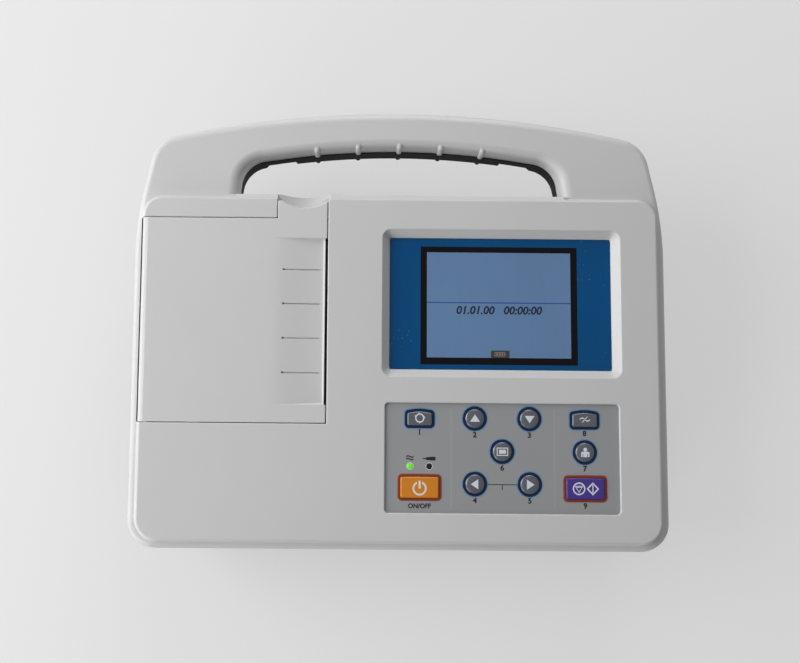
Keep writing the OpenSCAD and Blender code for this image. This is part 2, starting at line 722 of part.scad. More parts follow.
module keypad_panel() {
  color([0.53, 0.54, 0.55]) difference() {
    slab(rounded(box_pts(window_x - panel_w/2, window_x + panel_w/2,
      panel_cy - panel_h/2, panel_cy + panel_h/2), [2, 2, 2, 2]), panel_seat, panel_top);
    for (key = KEYS) at_key(key) translate([0, 0, panel_seat - over])
      linear_extrude(panel_t + 2*over) key_plan(key, ring_w);
    for (i = [0, 1]) post(lamp_at(i), lamp_d/2 + 0.05, panel_seat - over, panel_top + over);
  }
}

function lamp_at(i) = [window_x - column_out - lamp_step/2 + i*lamp_step, panel_cy + lamp_y];

// Trim ring in the panel round one key
module key_ring(key) {
  at_key(key) translate([0, 0, panel_seat]) linear_extrude(panel_t + 0.15) difference() {
    key_plan(key, ring_w);
    key_plan(key, key_gap);
  }
}

module key_rings_blue() {
  color([0.06, 0.16, 0.3]) for (key = [for (k = KEYS) if (k[3] < big_key_w) k]) key_ring(key);
}

module key_rings_rust() {
  color([0.6, 0.25, 0.12]) for (key = [for (k = KEYS) if (k[3] >= big_key_w) k]) key_ring(key);
}

// One key: cap above, retaining flange below the panel
module key_cap(i) {
  key = KEYS[i];
  top = panel_top + key_rise;
  at_key(key) {
    translate([0, 0, panel_seat - 0.1]) linear_extrude(top - panel_seat + 0.1) key_plan(key, 0);
    translate([0, 0, panel_seat - 0.1 - flange_t]) linear_extrude(flange_t) key_plan(key, flange_w);
  }
}

module grey_key(i) {
  color([0.5, 0.53, 0.57]) key_cap(i);
}

module key_mode() { grey_key(0); }
module key_filter() { grey_key(1); }
module key_up() { grey_key(2); }
module key_down() { grey_key(3); }
module key_menu() { grey_key(4); }
module key_patient() { grey_key(5); }
module key_left() { grey_key(6); }
module key_right() { grey_key(7); }
module key_power() { color([0.88, 0.56, 0.18]) key_cap(8); }
module key_run() { color([0.3, 0.2, 0.55]) key_cap(9); }

// Light pipe from the keypad board to the panel's face
module lamp(i) {
  post(lamp_at(i), lamp_d/2, board_top, panel_top + 0.2);
}

module lamp_mains() { color([0.2, 0.85, 0.3]) lamp(0); }
module lamp_battery() { color([0.1, 0.1, 0.1]) lamp(1); }

// Rubber mat with a dome below each key
module key_mat() {
  dome_top = panel_seat - 0.1 - flange_t - key_travel - 0.15;
  color([0.75, 0.75, 0.72]) difference() {
    union() {
      span([window_x - panel_w/2 + 3.2, panel_cy - panel_h/2 + 3.2, board_top],
        [window_x + panel_w/2 - 3.2, panel_cy + panel_h/2 - 3.2, mat_top]);
      for (key = KEYS) at_key(key) translate([0, 0, board_top])
        cylinder(r1 = 3.6, r2 = 2.6, h = dome_top - board_top);
    }
    for (i = [0, 1]) post(lamp_at(i), lamp_d/2 + 0.1, board_top - over, mat_top + over);
    for (p = KEYPAD_SCREWS) post(keypad_at(p), 2.8, board_top - over, mat_top + over);
  }
}

module keypad_board() {
  color([0.1, 0.35, 0.2]) difference() {
    span([window_x - panel_w/2 + 1, panel_cy - panel_h/2 + 1, board_top - board_t],
      [window_x + panel_w/2 - 1, panel_cy + panel_h/2 - 1, board_top]);
    for (p = KEYPAD_SCREWS) post(keypad_at(p), 1.2, board_top - board_t - over, board_top + over);
  }
}

module keypad_screws() {
  color("silver") for (p = KEYPAD_SCREWS) {
    post(keypad_at(p), 1.1, board_top - board_t - 0.2, board_top);
    post(keypad_at(p), 2.2, board_top - board_t - 1.5, board_top - board_t);
  }
}

// ---- Paper door and platen ----

// Door plate with a finger tab, hinge knuckles and two cheeks for the platen
module paper_door() {
  color("whitesmoke") difference() {
    union() {
      span([door_x0 + 1, door_y0, skin_z], [door_x1, door_y1, deck_z]);
      span([tab_x0, door_y1 - 1, skin_z], [door_x1, deck_rear - 0.5, deck_z]);
      door_lip();
      for (i = [0:knuckles - 1]) knuckle(i);
      for (y = [cheek_y0, cheek_y1]) cheek(y);
      for (y = [bay_y0 + 8, bay_y1 - 8]) span([hinge_x + 12, y - 1, skin_z - 1], [platen_x - 9, y + 1, skin_z]);
    }
    finger_scoop();
    paper_hollow();
    span([bay_x1 - slot_w, paper_y - slot_l/2, skin_z - over], [door_x1 + over, paper_y + slot_l/2, deck_z + over]);
    for (y = [cheek_y0, cheek_y1]) rod_y(platen_x, platen_z, bush_r + 0.02, y - over, y + cheek_t + over);
    rod_y(hinge_x, hinge_z, pin_r + running, door_y0 - over, door_y1 + over);
  }
  color("whitesmoke") for (i = [0:hollow_ribs - 1]) hollow_rib(paper_y + (i - (hollow_ribs - 1)/2)*hollow_rib_pitch);
}

// Thin rib across the hollow that the paper slides over
module hollow_rib(y) {
  x = door_x1 - hollow_w;
  translate([0, y + hollow_rib_t/2, 0]) rotate([90, 0, 0]) linear_extrude(hollow_rib_t) polygon([
    [x + 7, skin_z + 1], [bay_x1 - slot_w - 1.9, skin_z + 0.5], [bay_x1 - slot_w - 1.9, deck_z - 0.8],
    [x + 7, deck_z - 0.4]]);
}

// Sloping lip along the hinge side
module door_lip() {
  translate([0, door_y1, 0]) rotate([90, 0, 0]) linear_extrude(door_d) polygon([
    [door_x0, deck_z - 1.2], [door_x0, skin_z - 1.2], [door_x0 + 1, skin_z - 1.2], [door_x0 + 2.4, skin_z],
    [door_x0 + 2.4, deck_z], [door_x0 + 1, deck_z]]);
}

module knuckle(i) {
  pitch = door_d/knuckles;
  y = door_y0 + (i + 0.5)*pitch;
  rod_y(hinge_x, hinge_z, knuckle_r, y - 5, y + 5);
  span([hinge_x, y - 5, skin_z - 1.5], [hinge_x + knuckle_r + 1, y + 5, skin_z + 0.2]);
}

// Cheek that holds one platen bush
module cheek(y) {
  r = bush_r + 2;
  rod_y(platen_x, platen_z, r, y, y + cheek_t);
  span([platen_x - r, y, platen_z], [platen_x + r, y + cheek_t, skin_z + 0.2]);
}

// Shallow hollow beside the slot, where a finger lifts the paper's end
module paper_hollow() {
  x = door_x1 - hollow_w;
  translate([0, paper_y + slot_l/2, 0]) rotate([90, 0, 0]) linear_extrude(slot_l) polygon([
    [x, deck_z], [x, deck_z + over], [door_x1 + over, deck_z + over], [door_x1 + over, deck_z - 1.6],
    [door_x1 - 12, deck_z - 1.1]]);
}

module hinge_pin() {
  color("silver") rod_y(hinge_x, hinge_z, pin_r, door_y0 - 3.4, door_y1 + 3.4);
}

// Bush pressed into a door cheek and reaching over the chassis wall
module platen_bushes() {
  color("ivory") for (y = [[cheek_y0, bay_y0 - 0.3], [bay_y1 + 0.3, cheek_y1 + cheek_t]]) difference() {
    rod_y(platen_x, platen_z, bush_r, y[0], y[1]);
    rod_y(platen_x, platen_z, shaft_r + running, y[0] - over, y[1] + over);
  }
}

module platen_shaft() {
  color("silver") rod_y(platen_x, platen_z, shaft_r, cheek_y0 - 0.3, gear_y + gear_w + 0.5);
}

module platen_rubber() {
  color([0.15, 0.15, 0.15]) difference() {
    rod_y(platen_x, platen_z, platen_r, paper_y - paper_w/2 - 0.4, paper_y + paper_w/2 + 0.4);
    rod_y(platen_x, platen_z, shaft_r, paper_y - paper_w, paper_y + paper_w);
  }
}

module platen_gear() { color("ivory") gear_y(platen_x, platen_z, platen_teeth, -90 + 180/platen_teeth, shaft_r); }

// ---- Recorder chassis, drive and head ----

module idler_gear() { color("ivory") gear_y(platen_x, idler_z, idler_teeth, 90, 1 + running); }

module idler_pin() { color("silver") rod_y(platen_x, idler_z, 1, wall_y1 - 1.5, gear_y + gear_w + 1); }

module feed_motor() {
  color([0.55, 0.56, 0.58]) difference() {
    union() {
      rod_y(platen_x, pinion_z, motor_r, bay_y1 - motor_l, bay_y1);
      rod_y(platen_x, pinion_z, 3, bay_y1 - over, wall_y1);
    }
    rod_y(platen_x, pinion_z, 1 + running, bay_y1 - 14, wall_y1 + over);
  }
}

module motor_pinion() {
  color("goldenrod") {
    gear_y(platen_x, pinion_z, pinion_teeth, 90 + 180/pinion_teeth, 0.99);
    rod_y(platen_x, pinion_z, 1, bay_y1 - 12, gear_y + gear_w + 0.3);
  }
}

module thermal_head() {
  color("wheat") span([head_x, paper_y - paper_w/2 - 1, head_z0 + 1],
    [head_x + substrate_t, paper_y + paper_w/2 + 1, head_z0 + head_h]);
}

// Aluminium plate behind the head, with the boss of its pivot
module head_plate() {
  color("silver") difference() {
    union() {
      span([head_x + substrate_t, paper_y - paper_w/2 - 1, head_z0 + 1],
        [head_x + substrate_t + heat_t, paper_y + paper_w/2 + 1, head_z0 + head_h - 0.5]);
      rod_y(head_pin_x, head_pin_z, heat_t/2 + 0.4, paper_y - paper_w/2 - 1, paper_y + paper_w/2 + 1);
    }
    rod_y(head_pin_x, head_pin_z, head_pin_r + running, paper_y - paper_w, paper_y + paper_w);
  }
}

module head_pin() { color("silver") rod_y(head_pin_x, head_pin_z, head_pin_r, wall_y0, wall_y1); }

// Two coil springs that push the head plate towards the platen
module head_springs() {
  color("silver") for (y = [paper_y - 22, paper_y + 22])
    translate([head_x + substrate_t + heat_t, y, spring_z])
      rotate([0, 90, 0]) coil(1.6, 0.3, back_x - head_x - substrate_t - heat_t, 5);
}

// Coil spring along Z from 0 to length, its ends flush
module coil(r, wire, length, turns) {
  steps = 10*turns;
  sides = 6;
  rise = length - 2*wire;
  points = [for (i = [0:steps], k = [0:sides - 1])
    let (a = 360*turns*i/steps, b = 360*k/sides, q = r + wire*cos(b))
    [q*cos(a), q*sin(a), wire + rise*i/steps + wire*sin(b)]];
  walls = [for (i = [0:steps - 1], k = [0:sides - 1])
    [i*sides + k, i*sides + (k + 1) % sides, (i + 1)*sides + (k + 1) % sides, (i + 1)*sides + k]];
  first = [for (k = [0:sides - 1]) sides - 1 - k];
  last = [for (k = [0:sides - 1]) steps*sides + k];
  polyhedron(points, concat([first], walls, [last]), convexity = 8);
}

// Moulded chassis: trough for the roll, end walls, plate over the motor and head bracket
module printer_chassis() {
  color([0.82, 0.82, 0.8]) difference() {
    union() {
      translate([0, wall_y1, 0]) rotate([90, 0, 0]) linear_extrude(wall_y1 - wall_y0) trough_section();
      span([roll_x + trough_r, wall_y0, plate_z - plate_t], [chassis_x1, wall_y1, plate_z]);
      span([back_x, wall_y0, chassis_z0 + 12], [chassis_x1, wall_y1, spring_z + 2.4]);
      for (y = [wall_y0, bay_y1]) {
        span([chassis_x0, y, chassis_z0], [chassis_x1, y + end_t, chassis_top]);
        span([platen_x - bush_r - 4, y, chassis_top - 1], [chassis_x1, y + end_t, platen_z + 1.5]);
      }
      for (p = CHASSIS_SCREWS) chassis_lug(p);
    }
    for (y = [wall_y0, bay_y1]) end_wall_cuts(y - over, y + end_t + over);
    rod_y(head_pin_x, head_pin_z, head_pin_r, wall_y0 - over, wall_y1 + over);
    rod_y(platen_x, idler_z, 1, bay_y1 - over, wall_y1 + over);
    rod_y(platen_x, pinion_z, 3.05, bay_y1 - over, wall_y1 + over);
    for (p = CHASSIS_SCREWS) post(p, 1.6, chassis_z0 - over, chassis_z0 + 3);
  }
}

// Section across the trough, its open side up
module trough_section() {
  difference() {
    union() {
      intersection() {
        translate([roll_x, roll_z]) circle(r = trough_r + trough_t);
        translate([chassis_x0, chassis_z0]) square([2*(trough_r + trough_t), trough_r + trough_t]);
      }
      translate([chassis_x0, roll_z]) square([2*(trough_r + trough_t), plate_z - roll_z]);
    }
    translate([roll_x, roll_z]) circle(r = trough_r);
    translate([roll_x - trough_r, roll_z]) square([2*trough_r, plate_z - roll_z + over]);
  }
}

// Slot for the spindle's journal and notch for the platen bush in one end wall
module end_wall_cuts(y0, y1) {
  rod_y(roll_x, roll_z, journal_r + running, y0, y1);
  span([roll_x - journal_r - running, y0, roll_z], [roll_x + journal_r + running, y1, deck_z]);
  rod_y(platen_x, platen_z, bush_r + 0.45, y0, y1);
  span([platen_x - bush_r - 0.45, y0, platen_z], [platen_x + bush_r + 0.45, y1, deck_z]);
}

// Foot of the chassis round one of its screws
module chassis_lug(p) {
  near = p.y < paper_y ? wall_y0 + 1 : wall_y1 - 1;
  span([p.x - 4, min(p.y, near), chassis_z0], [p.x + 4, max(p.y, near), chassis_z0 + 2.2]);
  post(p, 4, chassis_z0, chassis_z0 + 2.2);
}

// ---- Paper ----

module paper_roll() {
  color([0.96, 0.93, 0.88]) difference() {
    rod_y(roll_x, roll_z, roll_r, paper_y - paper_w/2, paper_y + paper_w/2);
    rod_y(roll_x, roll_z, core_r, paper_y - paper_w, paper_y + paper_w);
  }
}

module roll_core() {
  color("white") difference() {
    rod_y(roll_x, roll_z, core_r, paper_y - paper_w/2, paper_y + paper_w/2);
    rod_y(roll_x, roll_z, spindle_r, paper_y - paper_w, paper_y + paper_w);
  }
}

module roll_spindle() {
  color([0.85, 0.85, 0.85]) {
    rod_y(roll_x, roll_z, spindle_r, paper_y - paper_w/2 - 1, paper_y + paper_w/2 + 1);
    rod_y(roll_x, roll_z, journal_r, wall_y0 - 1, wall_y1 + 1);
  }
}

// Loose paper from the roll, over the chassis plate, to the underside of the platen
module chart_paper() {
  t = 0.2;
  x0 = roll_x + roll_r + 1;
  z1 = plate_z + 0.15;
  color([0.96, 0.93, 0.88]) translate([0, paper_y + paper_w/2, 0]) rotate([90, 0, 0])
    linear_extrude(paper_w) polygon([
      [x0 + t, roll_z + 4], [x0 + t, plate_z - 0.6], [roll_x + trough_r - 0.3, z1 + 0.1], [platen_x + 1, z1],
      [platen_x + 1, z1 + t], [roll_x + trough_r - 0.4, z1 + 0.1 + t], [x0, plate_z - 0.5], [x0, roll_z + 4]]);
}

// ---- Electronics ----

// Circuit board with plain components and its screw holes
module board(x0, x1, y0, y1, z, screws, parts) {
  difference() {
    union() {
      span([x0, y0, z], [x1, y1, z + board_t]);
      for (c = parts) span([x0 + c[0], y0 + c[1], z + board_t - 0.1],
        [x0 + c[0] + c[2], y0 + c[1] + c[3], z + board_t + c[4]]);
    }
    for (p = screws) post(p, 1.2, z - over, z + board_t + over);
  }
}

module main_board() {
  color([0.1, 0.35, 0.2])
    board(main_x0, main_x1, main_y0, main_y1, main_z, concat(MAIN_SCREWS, STANDOFFS),
      [[20, 30, 16, 16, 1.6], [46, 34, 11, 18, 1.2], [46, 60, 11, 18, 1.2], [20, 62, 14, 9, 4],
       [8, 26, 5, 30, 6], [66, 44, 8, 8, 7], [66, 60, 8, 8, 7]]);
}

module lead_board() {
  color([0.1, 0.35, 0.2])
    board(lead_x0, lead_x1, data_y - 12, lead_y + 24, lead_z, STANDOFFS,
      [[8, 50, 7, 7, 1.4], [22, 22, 8, 8, 1.2]]);
}

module board_standoffs() {
  color("goldenrod") for (p = STANDOFFS) difference() {
    post(p, 2.4, main_z + board_t, lead_z);
    post(p, 1, lead_z - 4, lead_z + over);
  }
}

// Screening can over the input amplifiers
module shield_can() {
  z = lead_z + board_t;
  color("silver") difference() {
    span([lead_x0 + 4, lead_y - 14, z], [lead_x0 + 20, lead_y + 16, z + 6]);
    span([lead_x0 + 4.4, lead_y - 13.6, z - over], [lead_x0 + 19.6, lead_y + 15.6, z + 5.6]);
  }
}

module power_board() {
  color([0.1, 0.35, 0.2])
    board(power_x0, power_x1, power_y0, power_y1, power_z, POWER_SCREWS,
      [[2, 10, 8, 18, 9], [49, 6, 9, 9, 14], [49, 18, 9, 9, 14]]);
}

// Core and winding of the mains transformer
module transformer() {
  w = transformer_w/2;
  d = transformer_d/2;
  x = power_x0 + 15 + w;
  y = (power_y0 + power_y1)/2;
  z = power_z + board_t;
  color([0.6, 0.5, 0.2]) {
    span([x - w, y - d, z], [x + w, y + d, z + transformer_h]);
    span([x - w + winding_in, y - d + winding_in, z + transformer_h - 1],
      [x + w - winding_in, y + d - winding_in, z + transformer_h + 4]);
  }
}

module battery_pack() {
  color([0.15, 0.25, 0.55]) slab(rounded(box_pts(battery_x - battery_l/2, battery_x + battery_l/2,
    battery_y - battery_w/2, battery_y + battery_w/2), [3, 3, 3, 3]), inside_z + 0.1, inside_z + battery_h);
}

// Cover under the battery, flush with the floor
module battery_cover() {
  color([0.12, 0.12, 0.13]) difference() {
    union() {
      hatch(0, floor_z, floor_z + 1.4);
      span([battery_x - battery_l/2, battery_y - battery_w/2, floor_z + 1.3],
        [battery_x + battery_l/2, battery_y + battery_w/2 + 0.5, inside_z]);
    }
    for (p = COVER_SCREWS) post(p, 1.3, floor_z - over, inside_z + over);
    for (p = COVER_SCREWS) post(p, 2.5, floor_z - over, floor_z + 0.9);
  }
}

module cover_screws() {
  color("silver") for (p = COVER_SCREWS) {
    post(p, 2.4, floor_z + 0.1, floor_z + 0.9);
    post(p, 1.1, floor_z + 0.8, floor_z + 7);
  }
}

// Appliance inlet: flange, body and three blades in its mouth
module mains_inlet() {
  color([0.1, 0.1, 0.1]) difference() {
    union() {
      span([-port_face - 2, inlet_y - 15.5, port_z - 11.3], [-port_face, inlet_y + 15.5, port_z + 11.3]);
      span([-port_face - 1, inlet_y - 13.5, port_z - 9.7], [-port_face + 20, inlet_y + 13.5, port_z + 9.7]);
    }
    span([-port_face - 2 - over, inlet_y - 12, port_z - 8], [-port_face + 14, inlet_y + 12, port_z + 8]);
  }
  color("silver") for (p = [[-7, -1], [0, 3], [7, -1]])
    span([-port_face + 4, inlet_y + p[0] - 1, port_z + p[1] - 2], [-port_face + 14.5, inlet_y + p[0] + 1, port_z + p[1] + 2]);
}

// Socket for the patient lead: flange, shell and insulating body
module lead_socket() {
  color([0.65, 0.65, 0.66]) difference() {
    union() {
      span([port_face, lead_y - 19.6, port_z - 6.2], [port_face + 0.8, lead_y + 19.6, port_z + 6.2]);
      translate([port_face - 10, lead_y, port_z]) rotate([90, 0, 90]) linear_extrude(16)
        polygon([[-12.2, 4.1], [-11, -4.1], [11, -4.1], [12.2, 4.1]]);
      span([port_face - 10, lead_y - 12, lead_z + board_t], [port_face - 3, lead_y + 12, port_z]);
    }
    for (s = [-1, 1]) translate([port_face - over, lead_y + s*jack_pitch/2, port_z])
      rotate([0, 90, 0]) cylinder(r = 1.6, h = 2);
  }
}

module lead_jackscrews() {
  color("silver") for (s = [-1, 1]) translate([port_face, lead_y + s*jack_pitch/2, port_z]) rotate([0, 90, 0])
    difference() {
      union() {
        translate([0, 0, 0.8]) cylinder(r = 2.7, h = 4.7, $fn = 6);
        translate([0, 0, -5]) cylinder(r = 1.5, h = 6);
      }
      translate([0, 0, -2]) cylinder(r = 1.25, h = 8);
    }
}

// Square data socket with its tongue
module data_socket() {
  color([0.65, 0.65, 0.66]) {
    difference() {
      span([port_face - 12, data_y - 6, port_z - 5.4], [port_face + 2, data_y + 6, port_z + 5.4]);
      span([port_face - 7, data_y - 4.3, port_z - 4], [port_face + 2 + over, data_y + 4.3, port_z + 4]);
    }
    span([port_face - 7.5, data_y - 2.7, port_z - 1.6], [port_face + 1, data_y + 2.7, port_z + 1.6]);
    span([port_face - 11, data_y - 5, lead_z + board_t], [port_face - 4, data_y + 5, port_z - 5.3]);
  }
}

// Stud for the potential-equalisation cord
module earth_stud() {
  color("silver") translate([-port_face, stud_y, port_z]) rotate([0, -90, 0]) {
    cylinder(r = 3, h = 8);
    cylinder(r = 4.5, h = 1.5);
    translate([0, 0, -wall - 4]) cylinder(r = 2, h = wall + 4.5);
    translate([0, 0, -wall - 2.6]) cylinder(r = 4, h = 2.4, $fn = 6);
  }
}

module speaker() {
  color([0.2, 0.2, 0.2]) translate([speaker_x, speaker_y, inside_z]) {
    cylinder(r = speaker_r, h = 3);
    cylinder(r = speaker_r*0.55, h = 6);
  }
}

// ---- Feet and fasteners ----

module rubber_feet() {
  color([0.1, 0.1, 0.1]) for (p = FEET) post(p, foot_r, 0, floor_z + 1);
}

module housing_screws() {
  color("silver") for (p = HOUSING_SCREWS) {
    post(p, screw_head_r, screw_seat(p) - 1.8, screw_seat(p));
    post(p, screw_r - 0.02, screw_seat(p) - 0.5, part_z + 6);
  }
}

module board_screws() {
  color("silver") {
    for (p = MAIN_SCREWS) board_screw(p, main_z);
    for (p = POWER_SCREWS) board_screw(p, power_z);
    for (p = STANDOFFS) board_screw(p, lead_z);
  }
}

module board_screw(p, z) {
  post(p, 2.2, z + board_t, z + board_t + 1.3);
  post(p, 0.98, z + board_t - 3, z + board_t + 0.5);
}

module chassis_screws() {
  color("silver") for (p = CHASSIS_SCREWS) {
    post(p, 2.6, chassis_z0 + 2.2, chassis_z0 + 4);
    post(p, 1.18, chassis_z0 - 3.5, chassis_z0 + 2.5);
  }
}

upper_housing();
lower_housing();
display_window();
lcd_module();
keypad_panel();
key_rings_blue();
key_rings_rust();
key_mode();
key_filter();
key_up();
key_down();
key_menu();
key_patient();
key_left();
key_right();
key_power();
key_run();
lamp_mains();
lamp_battery();
key_mat();
keypad_board();
keypad_screws();
paper_door();
hinge_pin();
platen_bushes();
platen_shaft();
platen_rubber();
platen_gear();
idler_gear();
idler_pin();
feed_motor();
motor_pinion();
thermal_head();
head_plate();
head_pin();
head_springs();
printer_chassis();
paper_roll();
roll_core();
roll_spindle();
chart_paper();
main_board();
lead_board();
shield_can();
board_standoffs();
power_board();
transformer();
battery_pack();
battery_cover();
mains_inlet();
lead_socket();
lead_jackscrews();
data_socket();
earth_stud();
speaker();
rubber_feet();
housing_screws();
cover_screws();
board_screws();
chassis_screws();
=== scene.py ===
import bpy
import json
import math
from mathutils import Matrix, Vector

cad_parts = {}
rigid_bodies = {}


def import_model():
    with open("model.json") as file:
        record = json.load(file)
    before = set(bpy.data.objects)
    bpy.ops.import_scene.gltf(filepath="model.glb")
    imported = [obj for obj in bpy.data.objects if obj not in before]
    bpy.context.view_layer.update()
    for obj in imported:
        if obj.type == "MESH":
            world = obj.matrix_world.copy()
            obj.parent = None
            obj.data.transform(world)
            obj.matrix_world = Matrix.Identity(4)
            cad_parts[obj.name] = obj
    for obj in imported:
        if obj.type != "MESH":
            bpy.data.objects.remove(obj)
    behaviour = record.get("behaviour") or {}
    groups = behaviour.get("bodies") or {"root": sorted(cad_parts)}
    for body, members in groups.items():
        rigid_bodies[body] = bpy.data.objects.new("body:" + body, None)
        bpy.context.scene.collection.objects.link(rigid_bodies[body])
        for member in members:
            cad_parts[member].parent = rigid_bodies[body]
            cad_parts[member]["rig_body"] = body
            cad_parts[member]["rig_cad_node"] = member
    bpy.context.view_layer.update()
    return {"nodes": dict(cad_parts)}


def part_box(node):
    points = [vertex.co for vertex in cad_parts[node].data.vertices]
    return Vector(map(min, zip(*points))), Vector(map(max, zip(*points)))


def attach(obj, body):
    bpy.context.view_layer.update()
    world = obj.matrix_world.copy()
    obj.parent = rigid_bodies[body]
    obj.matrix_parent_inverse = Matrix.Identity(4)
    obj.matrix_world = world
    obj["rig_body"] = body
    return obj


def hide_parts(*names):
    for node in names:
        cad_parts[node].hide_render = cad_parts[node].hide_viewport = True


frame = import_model()

# ---- Rubber feet ----
# Four round feet of black rubber under the tub. Each is moulded with a soft rim and a hollow
# middle, and is glued into a shallow recess.
MM = 0.001
FEET = [(x, y) for x in (-99.5, 99.5) for y in (-84.3, 42.7)]
FOOT_RADIUS, FOOT_TOP = 7, 4


def srgb(*levels):
    """Colour values 0-255 as Blender's linear colour."""
    shares = [level / 255 for level in levels]
    return [c / 12.92 if c <= 0.04045 else ((c + 0.055) / 1.055) ** 2.4 for c in shares] + [1]


def set_inputs(node, values):
    """Sets a node's inputs by name, an underscore standing for a space."""
    for name, value in values.items():
        node.inputs[name.replace("_", " ")].default_value = value
    return node


def add_node(nodes, kind, **values):
    """Adds a shader node and sets its inputs."""
    return set_inputs(nodes.new("ShaderNode" + kind), values)


def ramp(nodes, stops):
    """A colour ramp between two stops (position, colour)."""
    tone = nodes.new("ShaderNodeValToRGB")
    for element, (position, colour) in zip(tone.color_ramp.elements, stops):
        element.position = position
        element.color = colour
    return tone


def graph(owner):
    """The shader nodes and links of a material or world."""
    owner.use_nodes = True
    return owner.node_tree.nodes, owner.node_tree.links


def moulded(name, colour, roughness, grain=0.35, depth=0.02, mottle=0.03, **sockets):
    """A finish with fine grain, faint broad mottling and uneven gloss.

    The grain's size and depth are in mm, and sockets are set on the shader."""
    finish = bpy.data.materials.new(name)
    nodes, links = graph(finish)
    shader = set_inputs(nodes["Principled BSDF"], sockets)
    place = add_node(nodes, "TexCoord")
    fine = add_node(nodes, "TexNoise", Scale=1 / (grain * MM), Detail=3)
    broad = add_node(nodes, "TexNoise", Scale=22, Detail=4)
    dark, light = ([min(c * share, 1) for c in colour[:3]] + [1] for share in (1 - mottle, 1 + mottle))
    tone = ramp(nodes, ((0.3, dark), (0.7, light)))
    gloss = add_node(nodes, "MapRange", To_Min=roughness * 0.85, To_Max=min(roughness * 1.15, 1))
    bump = add_node(nodes, "Bump", Strength=0.5, Distance=depth * MM)
    for texture in (fine, broad):
        links.new(place.outputs["Object"], texture.inputs["Vector"])
    links.new(broad.outputs["Fac"], tone.inputs["Fac"])
    links.new(tone.outputs["Color"], shader.inputs["Base Color"])
    links.new(fine.outputs["Fac"], gloss.inputs["Value"])
    links.new(gloss.outputs["Result"], shader.inputs["Roughness"])
    links.new(fine.outputs["Fac"], bump.inputs["Height"])
    links.new(bump.outputs["Normal"], shader.inputs["Normal"])
    return finish


def deselect():
    bpy.ops.object.select_all(action="DESELECT")


def only(piece):
    """Makes piece the one selected, active object."""
    deselect()
    piece.select_set(True)
    bpy.context.view_layer.objects.active = piece
    return piece


def pick(piece, test, faces=False):
    """Opens piece for editing with the vertices or faces selected that pass a test."""
    only(piece)
    bpy.context.tool_settings.mesh_select_mode = (not faces, False, faces)
    bpy.ops.object.mode_set(mode="EDIT")
    bpy.ops.mesh.select_all(action="DESELECT")
    bpy.ops.object.mode_set(mode="OBJECT")
    for item in piece.data.polygons if faces else piece.data.vertices:
        item.select = test(item)
    bpy.ops.object.mode_set(mode="EDIT")


def rounded(corners):
    """Points of an outline through corners (x, y, radius), its arcs within 0.008 mm of true."""
    points = []
    for i, (x, y, r) in enumerate(corners):
        spot = Vector((x, y))
        back, on = (Vector(corners[k % len(corners)][:2]) - spot for k in (i - 1, i + 1))
        if r <= 0:
            points.append(spot)
            continue
        half = back.angle(on) / 2
        centre = spot + (back.normalized() + on.normalized()).normalized() * r / math.sin(half)
        start = spot + back.normalized() * r / math.tan(half) - centre
        turn = (math.pi - 2 * half) * (1 if back.x * on.y < back.y * on.x else -1)
        n = max(3, math.ceil(abs(turn) / (2 * math.acos(1 - min(0.008 / r, 0.2)))))
        points += [centre + Matrix.Rotation(turn * k / n, 2) @ start for k in range(n + 1)]
    return points


def outline(name, corners, z, facing=1):
    """A flat face through corners (x, y, radius) in mm, anticlockwise, facing up or down."""
    points = rounded(corners)[::facing]
    deselect()
    bpy.ops.mesh.primitive_circle_add(vertices=len(points), radius=0.1, fill_type="NGON")
    piece = bpy.context.object
    piece.name = name
    for vertex, point in zip(piece.data.vertices, points):
        vertex.co = (point.x * MM, point.y * MM, z * MM)
    return piece


def build(piece, steps, facing=1):
    """Moves the end face on by steps of (inset, rise) in mm. An inset of 0 is a straight extrusion."""
    end = max(facing * face.center.z for face in piece.data.polygons)
    pick(piece, lambda face: facing * face.center.z > end - 1e-7 and facing * face.normal.z > 0.99,
         faces=True)
    for inset, rise in steps:
        if inset == 0:
            bpy.ops.mesh.extrude_region_move(TRANSFORM_OT_translate={"value": (0, 0, facing * rise * MM)})
        else:
            bpy.ops.mesh.inset(thickness=inset * MM, depth=rise * MM)
    bpy.ops.object.mode_set(mode="OBJECT")
    return piece


def round_over(across, down, n=5):
    """Steps that round an edge from its wall to its face, across and down in mm."""
    turn = [math.pi / 2 * i / n for i in range(n + 1)]
    return [(across * (math.cos(a) - math.cos(b)), down * (math.sin(b) - math.sin(a)))
            for a, b in zip(turn, turn[1:])]


def flare(across, down, n=5):
    """Steps from a face down into an opening whose edge is rounded."""
    return round_over(across, down, n)[::-1]


def circle(x, y, r, n=48):
    """Corners of a circle for outline()."""
    turns = [2 * math.pi * i / n for i in range(n)]
    return [(x + r * math.cos(turn), y + r * math.sin(turn), 0) for turn in turns]


def join(pieces, name):
    """Joins pieces into one object."""
    only(pieces[0])
    for piece in pieces:
        piece.select_set(True)
    bpy.ops.object.join()
    pieces[0].name = name
    return pieces[0]


def fit(piece, finish, body, node, angle=32):
    """Smooths a finished piece and mounts it on its body, in place of the CAD node."""
    only(piece)
    bpy.ops.object.shade_smooth_by_angle(angle=math.radians(angle))
    weigh = piece.modifiers.new("weigh", "WEIGHTED_NORMAL")
    weigh.keep_sharp = True
    bpy.ops.object.modifier_apply(modifier="weigh")
    if finish:
        piece.data.materials.clear()
        piece.data.materials.append(finish)
    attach(piece, body)
    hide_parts(node)
    return piece


rubber = moulded("black_rubber", srgb(34, 34, 35), 0.75, grain=0.25, depth=0.03)
feet = []
for x, y in FEET:
    foot = outline("foot", circle(x, y, FOOT_RADIUS), FOOT_TOP, facing=-1)
    feet.append(build(foot, [(0, 3)] + round_over(1, 1) + [(2.2, 0), (0.6, -0.8), (0.4, -0.2)], facing=-1))
fit(join(feet, "feet_moulding"), rubber, "base", "rubber_feet")

